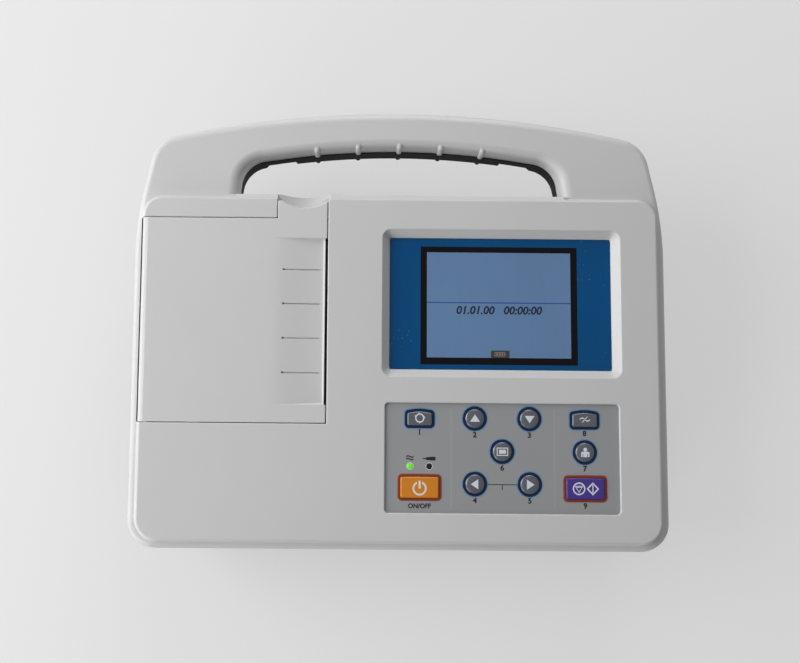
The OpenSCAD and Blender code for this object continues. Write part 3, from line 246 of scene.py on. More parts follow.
# ---- Lower housing ----
# The tub of the case and the lower half of the handle, one moulding in black ABS with a fine
# spark-eroded texture. The ports sit in recesses in its sides and the battery hatch is underneath.
RIM = [(-131.5, -107.3, 14), (131.5, -107.3, 14), (131.5, 52.3, 160), (122.2, 93.1, 17),
       (0, 118.6, 524.8), (-122.2, 93.1, 17), (-131.5, 52.3, 160)]
TUB = [(-131.5, -107.3, 14), (131.5, -107.3, 14), (131.5, 64.7, 14), (-131.5, 64.7, 14)]
TUB_SCREWS = [(-110.5, -93.3), (-19.075, -93.3), (110.5, -93.3)]
HANDLE_SCREWS = [(-107.5, 77.7), (107.5, 77.7), (0, 98.35)]
PARTING = 54.5  # height of the joint between the two housings
SET_IN = 1.4  # of the lower housing's walls behind the upper one's rim
REAR = 64.7  # rear wall of the body, and front of the hand hole
HANDLE_UNDER = 44.6
FLOOR = 2  # underside of the tub, above the table


def shrunk(corners, t):
    """The outline moved inwards by t on every side."""
    moved = []
    for i, (x, y, r) in enumerate(corners):
        spot = Vector((x, y))
        into = (spot - Vector(corners[i - 1][:2])).normalized()
        out = (Vector(corners[(i + 1) % len(corners)][:2]) - spot).normalized()
        a, b = Vector((-into.y, into.x)), Vector((-out.y, out.x))
        spot += t * (a + b) / (1 + a.dot(b))
        moved.append((spot.x, spot.y, max(r - t, 0.4) if r else 0))
    return moved


def oblong(x0, x1, y0, y1, r=0.0):
    """Corners of an upright rectangle."""
    return [(x0, y0, r), (x1, y0, r), (x1, y1, r), (x0, y1, r)]


def block(x, y, a, b, r=0.0):
    """Corners of a rectangle about its middle, with its half sizes."""
    return oblong(x - a, x + a, y - b, y + b, r)


def hand_hole(t, front=0.0):
    """Outline of the hand hole, grown by t at its sides and rear, and by front at its front."""
    return [(-80.3 - t, REAR - front, 0), (81.1 + t, REAR - front, 0), (77.4 + t, 82.1 + t, 14 + t),
            (0, 94.91 + t, 400), (-77.4 - t, 82.1 + t, 14 + t)]


def prism(name, corners, z0, z1):
    """A straight block of an outline."""
    return build(outline(name, corners, z0), [(0, z1 - z0)])


def rod(at, axis, r, length, vertices=48):
    """A cylinder from at along an axis name, in mm."""
    way = {"x": Vector((1, 0, 0)), "y": Vector((0, 1, 0)), "z": Vector((0, 0, 1))}[axis]
    deselect()
    turn = {"x": (0, math.pi / 2, 0), "y": (-math.pi / 2, 0, 0), "z": (0, 0, 0)}[axis]
    bpy.ops.mesh.primitive_cylinder_add(
        vertices=vertices, radius=r * MM, depth=abs(length) * MM,
        location=(Vector(at) + way * length / 2) * MM, rotation=turn)
    bpy.ops.object.transform_apply(location=True, rotation=True, scale=True)
    return bpy.context.object


def carve(piece, *tools, operation="DIFFERENCE"):
    """Cuts tools out of piece, or joins or intersects them."""
    for tool in tools:
        only(piece)
        step = piece.modifiers.new("carve", "BOOLEAN")
        step.object = tool
        step.operation = operation
        step.solver = "EXACT"
        bpy.ops.object.modifier_apply(modifier="carve")
        bpy.data.objects.remove(tool)
    return only(piece)


def cut_off(piece, y, behind=False):
    """Cuts off what lies in front of y, or behind it."""
    pick(piece, lambda vertex: True)
    bpy.ops.mesh.bisect(plane_co=(0, y * MM, 0), plane_no=(0, 1, 0), use_fill=True,
                        clear_inner=not behind, clear_outer=behind)
    bpy.ops.object.mode_set(mode="OBJECT")
    return piece


def edge_share(z):
    """0 below the rounded top edge of the handle, up to 1 at its end, as a quarter circle."""
    up = min(max(z - 62, 0) / 4, 1)
    return 1 - math.sqrt(1 - up * up)


def finger_rib(i, z0, z1, bend=0.0):
    """A rib for the fingers on the rear wall of the hand hole. A bend follows the wall's rounded edge."""
    x = (i - 2) * 20.5
    rib = outline("rib", circle(x, 89.6 - x * x / 800 + 0.5, 1.4, 24), z0)
    build(rib, [(0, z1 - z0 - 3.2)] + [(0, 0.5)] * 4 + round_over(1.2, 1.2, 4))
    if bend:
        for vertex in rib.data.vertices:
            vertex.co.y += bend * edge_share(vertex.co.z / MM) * MM
    return rib


tub = build(outline("lower_moulding", shrunk(TUB, SET_IN), PARTING, facing=-1),
            [(0, 0.3), (4.5, 45.2)] + round_over(4, 6), facing=-1)
grip = build(outline("grip", shrunk(RIM, SET_IN), PARTING, facing=-1),
             [(0, 7)] + round_over(2.4, 3), facing=-1)
carve(tub, cut_off(grip, 50.7), operation="UNION")
hollow = build(outline("hollow", shrunk(TUB, SET_IN + 2.5), 55, facing=-1),
               [(0, 0.6), (4.5, 45.4), (2, 3.5)], facing=-1)
grip_hollow = cut_off(prism("grip_hollow", shrunk(RIM, SET_IN + 2.5), 47, 55), 55)
carve(grip_hollow, prism("ring", hand_hole(2.5, 2.5), 46, 56))
carve(tub, hollow, grip_hollow)
carve(tub, prism("front_wall", oblong(-84, 84, 61, 64.9), HANDLE_UNDER, PARTING), operation="UNION")
carve(tub, prism("hole", hand_hole(0), 40, 56))
# The black wall is cut back on either side of the finger ribs.
for side in (-1, 1):
    notch = prism("notch", hand_hole(1), 44, 51)
    span = [(side * x, y, 0) for x, y in ((45.5, 80), (71.3, 80), (61.3, 90), (55.5, 90))][::side]
    carve(notch, prism("span", span, 43, 52), operation="INTERSECT")
    carve(tub, notch)
carve(tub, *[finger_rib(i, HANDLE_UNDER, 54.3) for i in range(5)], operation="UNION")
# Flat pads inside the side walls, and the ports' recesses and openings.
for pad in (oblong(113, 125.5, -8, 42), oblong(113, 125.5, -47, -13), oblong(-125.5, -120, -98.5, -52)):
    carve(tub, prism("pad", pad, 18, 46), operation="UNION")
for x0, x1, y0, y1, r, z0, z1 in (
        (122.5, 135, -5, 39, 0.8, 22, 42), (122.5, 135, -44, -16, 0.8, 22, 42),
        (-135, -122.5, -96.5, -54, 0.8, 20, 44), (112, 123, 3.5, 30.5, 1, 26, 38),
        (112, 123, -36.3, -23.7, 1, 26.3, 37.7), (-123, -119, -84.7, -57.3, 1, 22.1, 41.9)):
    carve(tub, prism("port", oblong(x0, x1, y0, y1, r), z0, z1))
carve(tub, rod((-123, -91.5, 32), "x", 2.05, 4))
# Underneath: the battery hatch and its well, the screws' counterbores, the feet and the speaker's slits.
carve(tub, prism("hatch", oblong(-9.3, 83.3, -93.6, -49, 2), FLOOR, 4.5),
      prism("well", oblong(-4, 78, -91.8, -54.3), FLOOR, 7))
for spots, z0, z1 in ((TUB_SCREWS, FLOOR, 46.5), (HANDLE_SCREWS, 44, 47.5)):
    for x, y in spots:
        carve(tub, rod((x, y, z0), "z", 3.1, z1 - z0, 32))
for x, y in FEET:
    carve(tub, rod((x, y, FLOOR + 0.5), "z", FOOT_RADIUS + 0.1, 1.5, 64))
for y in (-67, -64, -61, -58, -55):
    carve(tub, prism("slit", oblong(87.3, 102.7, y - 0.7, y + 0.7, 0.6), FLOOR, 6))
black_abs = moulded("black_abs", srgb(25, 25, 27), 0.68, grain=0.45, depth=0.05, Specular_IOR_Level=0.2)
fit(tub, black_abs, "base", "lower_housing")

# ---- Upper housing ----
# The light grey upper moulding in ABS: a rim that runs into the upper half of the handle, a
# raised deck, and the openings for the paper door, the display window and the keypad.
DECK_TOP = 70
ABOVE = DECK_TOP + 1  # where the tools start that cut down into the deck
DECK = [(-124, -101.8, 9.5), (124, -101.8, 9.5), (124, 61.5, 8), (-124, 61.5, 8)]
upper = outline("upper_moulding", RIM, PARTING)
build(upper, [(0, 3), (0.2, 4.5)] + round_over(4.8, 4, 8))
# The rim is drawn in at the joint, and its sides lean inwards up to z 62.
for vertex in upper.data.vertices:
    z = vertex.co.z / MM
    if z < PARTING + 0.1:
        vertex.co.x *= 0.992
        vertex.co.y *= 0.9944
    elif z < 62.01:
        vertex.co.x *= 1 - 0.0125 * (z - PARTING) / 7.5
    else:
        vertex.co.x *= 0.9875 + 0.0125 * ((z - 62) / 4) ** 1.5
deck = outline("deck", shrunk(DECK, -2.4), 64.5)
build(deck, [(0, 1.5), (0.3, 0.1), (0.25, 0.3), (0.35, 1), (0.4, 1.3)])
build(deck, round_over(1.4, 1.3, 6))
carve(upper, deck, operation="UNION")
room = prism("room", shrunk(RIM, 3.1), 54, 63.5)
carve(room, prism("ring", hand_hole(2.5, 2.5), 53, 65))
carve(upper, room, prism("room", shrunk(DECK, 2.5), 54, 67.5))
carve(upper, prism("scoop_back", oblong(-61.3, -31.3, 55.05, 64.9), PARTING, 67.2), operation="UNION")
# A sloping bar closes the deck's rear edge above the hand hole.
bar = outline("bar", oblong(-80.3, 80.3, 60.4, REAR), 65)
build(bar, [(0, 2), (0, 2.5)])
pick(bar, lambda vertex: vertex.co.z > 69 * MM and vertex.co.y > 64 * MM)
bpy.ops.transform.translate(value=(0, -3 * MM, 0))
bpy.ops.object.mode_set(mode="OBJECT")
carve(upper, bar, operation="UNION")
hand_cut = outline("hand_cut", hand_hole(4, 4.3), ABOVE, facing=-1)
build(hand_cut, [(0, 1), (0.5, 4)] + flare(3.5, 4, 8) + [(0, 9)], facing=-1)
for vertex in hand_cut.data.vertices:
    x = vertex.co.x / MM
    end_share = min(max(abs(x) - 62, 0) / 16, 1)
    vertex.co.x += math.copysign(1.6 * end_share * edge_share(vertex.co.z / MM), x) * MM
carve(upper, cut_off(hand_cut, REAR))
carve(upper, *[finger_rib(i, 54.9, 65.2, 4) for i in range(5)], operation="UNION")


def door_bay(g, rear):
    """Outline of the door's opening with its tab, grown by g."""
    return [(-126.4 - g, -47.1 - g, 0.6), (-34.9 + g, -47.1 - g, 0.6), (-34.9 + g, rear, 0),
            (-59.8 - g, rear, 0), (-59.8 - g, 52.5 + g, 0.3), (-126.4 - g, 52.5 + g, 0.6)]


bay = outline("bay", door_bay(0.5, 66), ABOVE, facing=-1)
build(bay, [(0, 1)] + flare(0.5, 0.5, 4) + [(0, 2.45)], facing=-1)
carve(upper, bay, prism("bay", door_bay(0, 55.4), 54, 68))


def scoop(t):
    """The finger scoop at the rear of the door's tab, a cone that narrows downwards."""
    tool = outline("scoop", circle(-46.3, 76.1, 18.9 + t), ABOVE, facing=-1)
    build(tool, [(0, 1)] + flare(t, t * 0.7, 4) + [(9.8, 14)], facing=-1)
    return cut_off(tool, 66.7, behind=True)


carve(upper, scoop(0.6))
recess = outline("recess", oblong(-8.8, 107.1, -24.6, 47.8, 4.8), ABOVE, facing=-1)
build(recess, [(0, 1)] + flare(0.6, 0.5, 4) + [(3.4, 3.6), (0, 1.2)], facing=-1)
well = outline("well", oblong(-7.35, 105.65, -89.4, -36.2, 2.4), ABOVE, facing=-1)
build(well, [(0, 1)] + flare(0.55, 0.55, 4) + [(0, 1.95), (1.55, 0), (0, 6)], facing=-1)
carve(upper, prism("window_frame", oblong(-9.7, 108, -23.5, 46.7, 3), 62.3, 67.7),
      prism("panel_frame", oblong(-9.85, 108.15, -91.9, -33.7, 3), 65.5, 67.7), operation="UNION")
carve(upper, prism("sight", oblong(11, 87.3, -17.25, 40.45), 61.8, 66))
carve(upper, recess, well)
light_abs = moulded("light_abs", srgb(203, 203, 203), 0.4, grain=0.3, depth=0.012, mottle=0.012)
fit(upper, light_abs, "base", "upper_housing")

# ---- Display window ----
# A cut acrylic pane, printed on its back in blue with a black frame round the clear field, and
# glued into the recess. The display behind it shows a rule, plain figures and a charge mark.
SCREEN = (13.4, 83.4, -14.7, 36.8)
FRAME = (10.3, 86.6, -18.1, 39.6)
RULE = (11.85, 12.4)
BADGE = (44.5, 53.5, -11.1)
PANE_TOP = 66
INK = 0.012  # thickness of a print


def glossed(name, colour, grain=0.9, mottle=0.05, **sockets):
    """A print seen through clear acrylic: smooth gloss over a faintly uneven colour."""
    return moulded(name, colour, 0.14, grain=grain, depth=0.002, mottle=mottle, **sockets)


def overlay_colour(finish, factor, colour, mode="MIX"):
    """Lays a colour, or a socket that gives one, over a finish by a factor."""
    nodes, links = graph(finish)
    base = nodes["Principled BSDF"].inputs["Base Color"]
    mix = nodes.new("ShaderNodeMixRGB")
    mix.blend_type = mode
    for value, socket in ((factor, mix.inputs["Fac"]), (colour, mix.inputs["Color2"])):
        if hasattr(value, "node"):
            links.new(value, socket)
        else:
            socket.default_value = value
    links.new(base.links[0].from_socket, mix.inputs["Color1"])
    links.new(mix.outputs["Color"], base)


def speckled(finish, strength):
    """Strews a few pale specks, in patches, over a finish."""
    nodes, links = graph(finish)
    place = nodes["Texture Coordinate"]
    spots = add_node(nodes, "TexVoronoi", Scale=420)
    size = add_node(nodes, "MapRange", From_Min=0.05, From_Max=0.16, To_Min=strength, To_Max=0)
    patch = add_node(nodes, "TexNoise", Scale=35)
    only_some = add_node(nodes, "MapRange", From_Min=0.5, From_Max=0.75)
    both = nodes.new("ShaderNodeMath")
    both.operation = "MULTIPLY"
    for texture, output, ranged, socket in ((spots, "Distance", size, 0), (patch, "Fac", only_some, 1)):
        links.new(place.outputs["Object"], texture.inputs["Vector"])
        links.new(texture.outputs[output], ranged.inputs["Value"])
        links.new(ranged.outputs["Result"], both.inputs[socket])
    overlay_colour(finish, both.outputs["Value"], srgb(150, 190, 215))


def pixels(finish, pitch, contrast):
    """Lays the fine grid of a display's pixels, in mm, and faint upright streaks over a finish."""
    nodes, links = graph(finish)
    place = nodes["Texture Coordinate"]
    for direction in ("X", "Y"):
        bands = add_node(nodes, "TexWave", Scale=0.31416 / (pitch * MM))
        bands.bands_direction = direction
        shade = add_node(nodes, "MapRange", To_Min=1 - contrast)
        links.new(place.outputs["Object"], bands.inputs["Vector"])
        links.new(bands.outputs["Fac"], shade.inputs["Value"])
        overlay_colour(finish, 1, shade.outputs["Result"], "MULTIPLY")
    stretch = add_node(nodes, "Mapping", Scale=(220, 18, 1))
    streak = add_node(nodes, "TexNoise", Scale=1, Detail=4)
    tint = ramp(nodes, ((0.35, (0.97, 0.985, 0.985, 1)), (0.65, (1.03, 1, 1.015, 1))))
    links.new(place.outputs["Object"], stretch.inputs["Vector"])
    links.new(stretch.outputs["Vector"], streak.inputs["Vector"])
    links.new(streak.outputs["Fac"], tint.inputs["Fac"])
    overlay_colour(finish, 1, tint.outputs["Color"], "MULTIPLY")


def inked(piece, finish):
    """Gives a printed shape its ink before it is joined to what it is printed on."""
    piece.data.materials.clear()
    piece.data.materials.append(finish)
    return piece


def printed(corners, z, finish):
    """A flat printed shape on a face at height z."""
    return inked(prism("print", corners, z, z + INK), finish)


def figures(body, x, y, z, size, finish, lean=0.0, heavy=0.0):
    """Flat printed figures centred on x, y (mm), their face just above z."""
    deselect()
    bpy.ops.object.text_add()
    text = bpy.context.object
    text.data.body = body
    text.data.size = size * MM
    text.data.shear = lean
    text.data.offset = heavy * MM
    text.data.extrude = INK / 2 * MM
    text.data.align_x, text.data.align_y = "CENTER", "CENTER"
    text.data.resolution_u = 4
    bpy.ops.object.convert(target="MESH")
    text = bpy.context.object
    for vertex in text.data.vertices:
        vertex.co += Vector((x, y, z + INK / 2)) * MM
    return inked(text, finish)


window_blue = glossed("window_blue", srgb(0, 76, 130), grain=1.5, Specular_IOR_Level=0.35)
speckled(window_blue, 0.5)
window_black = glossed("window_black", srgb(8, 7, 12), grain=1.5, Specular_IOR_Level=0.35)
lit_display = glossed("lit_display", srgb(104, 137, 177), mottle=0.04, Specular_IOR_Level=0.35)
pixels(lit_display, 0.22, 0.05)
display_ink = glossed("display_ink", srgb(38, 42, 66))
display_rule = glossed("display_rule", srgb(54, 78, 158))
display_badge = glossed("display_badge", srgb(66, 66, 72))
window = outline("window_pane", oblong(-4.7, 103, -20.5, 43.7, 2), 64.8)
build(window, [(0, 1.05), (0.15, 0.15)])
cuts = [((x, 0, 0), (1, 0, 0)) for x in SCREEN[:2] + FRAME[:2] + BADGE[:2]]
cuts += [((0, y, 0), (0, 1, 0)) for y in SCREEN[2:] + FRAME[2:] + RULE + BADGE[2:]]
pick(window, lambda vertex: True)
for spot, way in cuts:
    bpy.ops.mesh.select_all(action="SELECT")
    bpy.ops.mesh.bisect(plane_co=Vector(spot) * MM, plane_no=way)
bpy.ops.object.mode_set(mode="OBJECT")
for finish in (window_blue, window_black, lit_display, display_rule, display_badge):
    window.data.materials.append(finish)
for face in window.data.polygons:
    x, y = face.center.x / MM, face.center.y / MM
    if face.normal.z < 0.9:
        continue
    if SCREEN[0] < x < SCREEN[1] and SCREEN[2] < y < SCREEN[3]:
        badge = BADGE[0] < x < BADGE[1] and y < BADGE[2]
        face.material_index = 3 if RULE[0] < y < RULE[1] else 4 if badge else 2
    elif FRAME[0] < x < FRAME[1] and FRAME[2] < y < FRAME[3]:
        face.material_index = 1
marks = [figures("01.01.00   00:00:00", 48.3, 8.3, PANE_TOP, 5.4, display_ink, lean=0.18, heavy=0.15)]
badge_ink = glossed("badge_ink", srgb(150, 132, 118))
cell = prism("cell", oblong(46.3, 51.2, -13.9, -11.9), PANE_TOP, PANE_TOP + INK)
carve(cell, prism("inside", oblong(46.6, 50.9, -13.6, -12.2), PANE_TOP - 1, PANE_TOP + 1))
marks.append(inked(cell, badge_ink))
marks.append(printed(oblong(51.3, 51.7, -13.3, -12.5), PANE_TOP, badge_ink))
for x in (47.5, 48.75, 50):
    marks.append(printed(oblong(x - 0.4, x + 0.4, -13.4, -12.4), PANE_TOP, badge_ink))
fit(join([window] + marks, "window_pane"), None, "base", "display_window")

# ---- Keypad panel ----
# A grey moulded panel let into the deck, with printed rules and figures. Each key comes up through
# a raised trim ring, blue for the grey keys and rust for the two large ones.
ARCHED, ROUND, WIDE = (12.1, 7.3, 1.2), (9.4, 9.4, 0), (18.6, 10.4, 0.2)  # width, height, rise of the top
KEYS = {"mode": (9.75, -44.0, *ARCHED), "filter": (88.55, -44.0, *ARCHED), "up": (36.1, -44.0, *ROUND),
        "down": (62.2, -44.0, *ROUND), "menu": (49.15, -59.6, *ROUND), "patient": (88.55, -59.6, *ROUND),
        "left": (36.1, -75.0, *ROUND), "right": (62.2, -75.0, *ROUND),
        "power": (9.75, -76.7, *WIDE), "run": (88.55, -76.7, *WIDE)}
LAMPS = {"mains": (5.2, -66.8), "battery": (14.3, -66.8)}
PANEL_TOP = 69
LARGE_KEYS = ["power", "run"]
SMALL_KEYS = [name for name in KEYS if name not in LARGE_KEYS]


def key_plan(name, t):
    """Outline of a key grown by t on every side."""
    x, y, w, h, arch = KEYS[name]
    a, b = w / 2 + t, h / 2 + t
    if not arch:
        return circle(x, y, a, 64)
    return [(x - a, y - b, 1 + t), (x + a, y - b, 1 + t), (x + a, y + b - arch, 1 + t),
            (x, y + b, a * a / (2 * arch) * 0.9), (x - a, y + b - arch, 1 + t)]


def hoop(name, outer, inner, z0, z1, soften=0.0):
    """A ring between two outlines, its upper outer edge softened."""
    ring = outline(name, outer, z0)
    build(ring, [(0, z1 - z0 - soften)] + (round_over(soften, soften, 4) if soften else []))
    return carve(ring, prism("inner", inner, z0 - 1, z1 + 1))


overlay = moulded("grey_overlay", srgb(152, 153, 156), 0.36, grain=0.25, depth=0.008, mottle=0.015)
pale_print, dark_print, rule_print, halo_print = (
    moulded(name + "_print", srgb(*tone), roughness, grain=0.3, depth=0.004)
    for name, tone, roughness in (("pale", (216, 220, 228), 0.4), ("dark", (30, 31, 38), 0.45),
                                  ("rule", (160, 160, 163), 0.4), ("halo", (112, 146, 176), 0.4)))
panel = outline("panel_moulding", oblong(-6.85, 105.15, -88.9, -36.7, 2), 67.5)
build(panel, [(0, 1.35)] + round_over(0.15, 0.15, 2))
carve(panel, *[prism("opening", key_plan(name, 1.25), 66, 71) for name in KEYS])
carve(panel, *[prism("opening", circle(*spot, 1.5, 32), 66, 71) for spot in LAMPS.values()])
prints = [printed(oblong(x - 0.3, x + 0.3, -85.8, -39.8), PANEL_TOP, rule_print) for x in (24.9, 74.1)]
for tie in (oblong(42.2, 56.1, -75.35, -75.0), oblong(48.95, 49.35, -77.8, -75.4)):
    prints.append(printed(tie, PANEL_TOP, dark_print))
halos = [(key_plan(name, 1.7), key_plan(name, 1.2), halo_print) for name in SMALL_KEYS]
halos += [(circle(*spot, 1.75, 32), circle(*spot, 1.5, 32), pale_print) for spot in LAMPS.values()]
for outer, inner, ink in halos:
    prints.append(inked(hoop("halo", outer, inner, PANEL_TOP, PANEL_TOP + INK), ink))
numbered = ("mode", "up", "down", "left", "right", "menu", "patient", "filter", "run")
for number, name in enumerate(numbered, 1):
    x, y, w, h, arch = KEYS[name]
    prints.append(figures(str(number), x, y - h / 2 - 3.1, PANEL_TOP, 3.6, dark_print, heavy=0.13))
prints.append(figures("ON/OFF", KEYS["power"][0], -85.6, PANEL_TOP, 3.0, dark_print, heavy=0.12))


def wave(x, y, w, rise, thick, n=12):
    """Outline of a thick S-shaped stroke."""
    above = [(x + w * (i / n - 0.5), y + rise * math.sin(2 * math.pi * i / n) + thick / 2, 0)
             for i in range(n + 1)]
    below = [(px, py - thick, 0) for px, py, r in above]
    return below + above[::-1]


for shape in (wave(5.2, -62.3, 3.6, 0.3, 0.62), wave(5.2, -63.5, 3.6, 0.3, 0.62),
              [(12, -63.2, 0), (13.5, -64, 0), (13.5, -62.4, 0)], oblong(13.3, 14.6, -63.9, -62.5, 0.3),
              oblong(14.6, 17.4, -64.1, -62.3, 0.4), oblong(11.2, 12.6, -63.45, -62.95)):
    prints.append(printed(shape, PANEL_TOP, dark_print))
inked(panel, overlay)
fit(join([panel] + prints, "panel_moulding"), None, "base", "keypad_panel")
blue_trim = moulded("blue_trim", srgb(6, 38, 76), 0.25, grain=0.4, depth=0.004)
rust_trim = moulded("rust_trim", srgb(140, 58, 34), 0.32, grain=0.4, depth=0.004)
for node, finish, names in (("key_rings_blue", blue_trim, SMALL_KEYS),
                            ("key_rings_rust", rust_trim, LARGE_KEYS)):
    rings = [hoop("ring", key_plan(name, 1.3), key_plan(name, 0), 67.5, 69.15, 0.4) for name in names]
    fit(join(rings, node + "_moulding"), finish, "base", node)

# ---- Keys ----
# Ten loose key caps, each with a flange below the panel that holds it in, a rounded face, and a
# pale symbol printed on it. The keys press onto domes of the rubber mat.
KEY_FOOT, KEY_TOP = 66.4, 69.95
SYMBOL = (KEY_TOP - 0.1, KEY_TOP + INK)
CUT_SPAN = (KEY_TOP - 1, KEY_TOP + 1)


def solid_mark(*corners):
    """A flat part of a symbol, just proud of a key's face."""
    return inked(prism("symbol", corners, *SYMBOL), pale_print)


def open_mark(outer, inner):
    """A part of a symbol between two outlines."""
    return inked(hoop("symbol", outer, inner, *SYMBOL), pale_print)


def symbol(name):
    """The parts of a key's symbol."""
    x, y = KEYS[name][:2]
    if name in ("up", "down"):
        s = 1 if name == "up" else -1
        a, b = 2.35 * s, 1.5 * s
        return [solid_mark((x - a, y - b, 0), (x + a, y - b, 0), (x, y + 2 * s, 0))]
    if name in ("left", "right"):
        s = 1 if name == "right" else -1
        a, b = 1.5 * s, 2.35 * s
        return [solid_mark((x - a, y + b, 0), (x - a, y - b, 0), (x + 2.1 * s, y, 0))]
    if name == "menu":
        return [open_mark(block(x, y, 2.7, 1.95, 0.2), block(x, y, 2.25, 1.5)),
                solid_mark(*block(x, y, 1.65, 0.95))]
    if name == "patient":
        trunk = [(x - 2, y - 2.2, 0.3), (x + 2, y - 2.2, 0.3), (x + 2, y + 0.4, 0.9), (x - 2, y + 0.4, 0.9)]
        body = prism("symbol", trunk, *SYMBOL)
        for arm in (x - 1.15, x + 1.15):
            carve(body, prism("arm", block(arm, y - 1.5, 0.16, 0.8), *CUT_SPAN))
        return [inked(body, pale_print), solid_mark(*circle(x, y + 1.35, 0.9, 24))]
    if name == "mode":
        parts = [open_mark(circle(x, y, 2.2, 40), circle(x, y, 1.6, 40))]
        for a in (100, 155, 270, 10):
            u, v = math.cos(math.radians(a)), math.sin(math.radians(a))
            parts.append(solid_mark((x + 2.1 * u + 0.5 * v, y + 2.1 * v - 0.5 * u, 0),
                                    (x + 2.75 * u, y + 2.75 * v, 0),
                                    (x + 2.1 * u - 0.5 * v, y + 2.1 * v + 0.5 * u, 0)))
        return parts
    if name == "filter":
        slash = [(x - 1.5, y - 1.4, 0), (x - 1.0, y - 1.4, 0), (x + 1.5, y + 1.4, 0), (x + 1.0, y + 1.4, 0)]
        return [solid_mark(*wave(x, y, 5, 0.75, 0.55)), solid_mark(*slash)]
    if name == "power":
        dial = hoop("symbol", circle(x, y - 0.5, 3.35), circle(x, y - 0.5, 2.5), *SYMBOL)
        carve(dial, prism("gap", oblong(x - 1.25, x + 1.25, y + 0.6, y + 4), *CUT_SPAN))
        return [inked(dial, pale_print), solid_mark(*oblong(x - 0.5, x + 0.5, y - 0.6, y + 3.1, 0.1))]
    u, v = x - 3.15, x + 3.4
    return [open_mark(circle(u, y, 3, 40), circle(u, y, 2.35, 40)),
            open_mark([(u - 1.75, y + 0.85, 0), (u, y - 1.95, 0), (u + 1.75, y + 0.85, 0)],
                      [(u - 1.2, y + 0.5, 0), (u, y - 1.35, 0), (u + 1.2, y + 0.5, 0)]),
            solid_mark(*oblong(u - 1.9, u + 1.9, y + 1.0, y + 1.35)),
            open_mark([(v - 3, y, 0), (v, y - 3.1, 0), (v + 3, y, 0), (v, y + 3.1, 0)],
                      [(v - 2.1, y, 0), (v, y - 2.15, 0), (v + 2.1, y, 0), (v, y + 2.15, 0)]),
            solid_mark(*block(v, y, 0.25, 2.3))]


grey_key = moulded("grey_key", srgb(112, 116, 124), 0.26, grain=0.3, depth=0.006, Metallic=0.4)
orange_key = moulded("orange_key", srgb(210, 129, 32), 0.28, grain=0.3, depth=0.006)
violet_key = moulded("violet_key", srgb(72, 54, 140), 0.28, grain=0.3, depth=0.006)
for name in KEYS:
    flange, rise = [(0, 1), (0.9, 0)], KEY_TOP - KEY_FOOT - 1
    if KEYS[name][4]:
        face = [(0, rise - 0.55)] + round_over(0.72, 0.55, 5)
    else:
        face = [(0, rise - 0.8)] + round_over(2.1, 0.76, 7) + [(0.7, 0.03), (0.6, 0.01)]
    cap = build(outline("cap", key_plan(name, 0.7), KEY_FOOT), flange + face)
    inked(cap, {"power": orange_key, "run": violet_key}.get(name, grey_key))
    fit(join([cap] + symbol(name), "cap_" + name), None, "key_" + name, "key_" + name)

# ---- Lamps ----
# Two light pipes of clear plastic with rounded ends, pressed into the panel from below. The one
# for the mains is lit green, and the one for the battery is dark.
for name, colour, glow in (("mains", srgb(88, 206, 36), 0.32), ("battery", srgb(26, 26, 30), 0)):
    lens = moulded(name + "_lens", colour, 0.16, grain=0.5, depth=0.002)
    if glow:
        set_inputs(lens.node_tree.nodes["Principled BSDF"],
                   {"Emission Color": srgb(120, 255, 40), "Emission Strength": glow})
    pipe = outline("pipe", circle(*LAMPS[name], 1.45, 32), 61.6)
    build(pipe, [(0, 7.1)] + round_over(1.0, 0.5, 5))
    fit(pipe, lens, "base", "lamp_" + name).name = "lens_" + name

# ---- Keypad works ----
# Under the panel a silicone mat with a dome for each key lies on the keypad board, and four small
# screws hold the board up against the housing.
def refine(node, finish, soften=0.0, cuts=(), angle=32):
    """Stands a cleaned copy in for a CAD node: merged, its edges softened, cut by tools and finished."""
    source = frame["nodes"][node]
    body = source["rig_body"]
    piece = source.copy()
    piece.data = source.data.copy()
    piece.name = node + "_finished"
    del piece["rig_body"], piece["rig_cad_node"]
    piece.parent = None
    bpy.context.scene.collection.objects.link(piece)
    pick(piece, lambda vertex: True)
    bpy.ops.mesh.remove_doubles(threshold=0.002 * MM)
    bpy.ops.mesh.dissolve_limited(angle_limit=math.radians(0.5))
    bpy.ops.object.mode_set(mode="OBJECT")
    if soften:
        edges = piece.modifiers.new("soften", "BEVEL")
        edges.width = soften * MM
        edges.segments = 2
        edges.angle_limit = math.radians(35)
        bpy.ops.object.modifier_apply(modifier="soften")
    carve(piece, *cuts)
    return fit(piece, finish, body, node, angle)


def reckon(finish, operation, a, b=None):
    """A Math node whose inputs are sockets or numbers."""
    node = finish.node_tree.nodes.new("ShaderNodeMath")
    node.operation = operation
    for socket, value in zip(node.inputs, (a, b)):
        if hasattr(value, "node"):
            finish.node_tree.links.new(value, socket)
        elif value is not None:
            socket.default_value = value
    return node.outputs["Value"]


def axes(finish, centre=(0, 0, 0)):
    """The three object coordinates of a finish, from a centre in mm."""
    nodes, links = graph(finish)
    shift = add_node(nodes, "Mapping", Location=[-c * MM for c in centre])
    split = add_node(nodes, "SeparateXYZ")
    links.new(nodes["Texture Coordinate"].outputs["Object"], shift.inputs["Vector"])
    links.new(shift.outputs["Vector"], split.inputs["Vector"])
    return split.outputs


def lines(finish, value, pitch, share):
    """1 on lines that repeat each pitch (mm) along value, over share of it."""
    step = reckon(finish, "FRACT", reckon(finish, "DIVIDE", value, pitch * MM))
    return reckon(finish, "LESS_THAN", step, share)


def metal(name, colour, roughness, grain=0.3, depth=0.004):
    """Bare or plated metal."""
    return moulded(name, colour, roughness, grain=grain, depth=depth, mottle=0.06, Metallic=1)


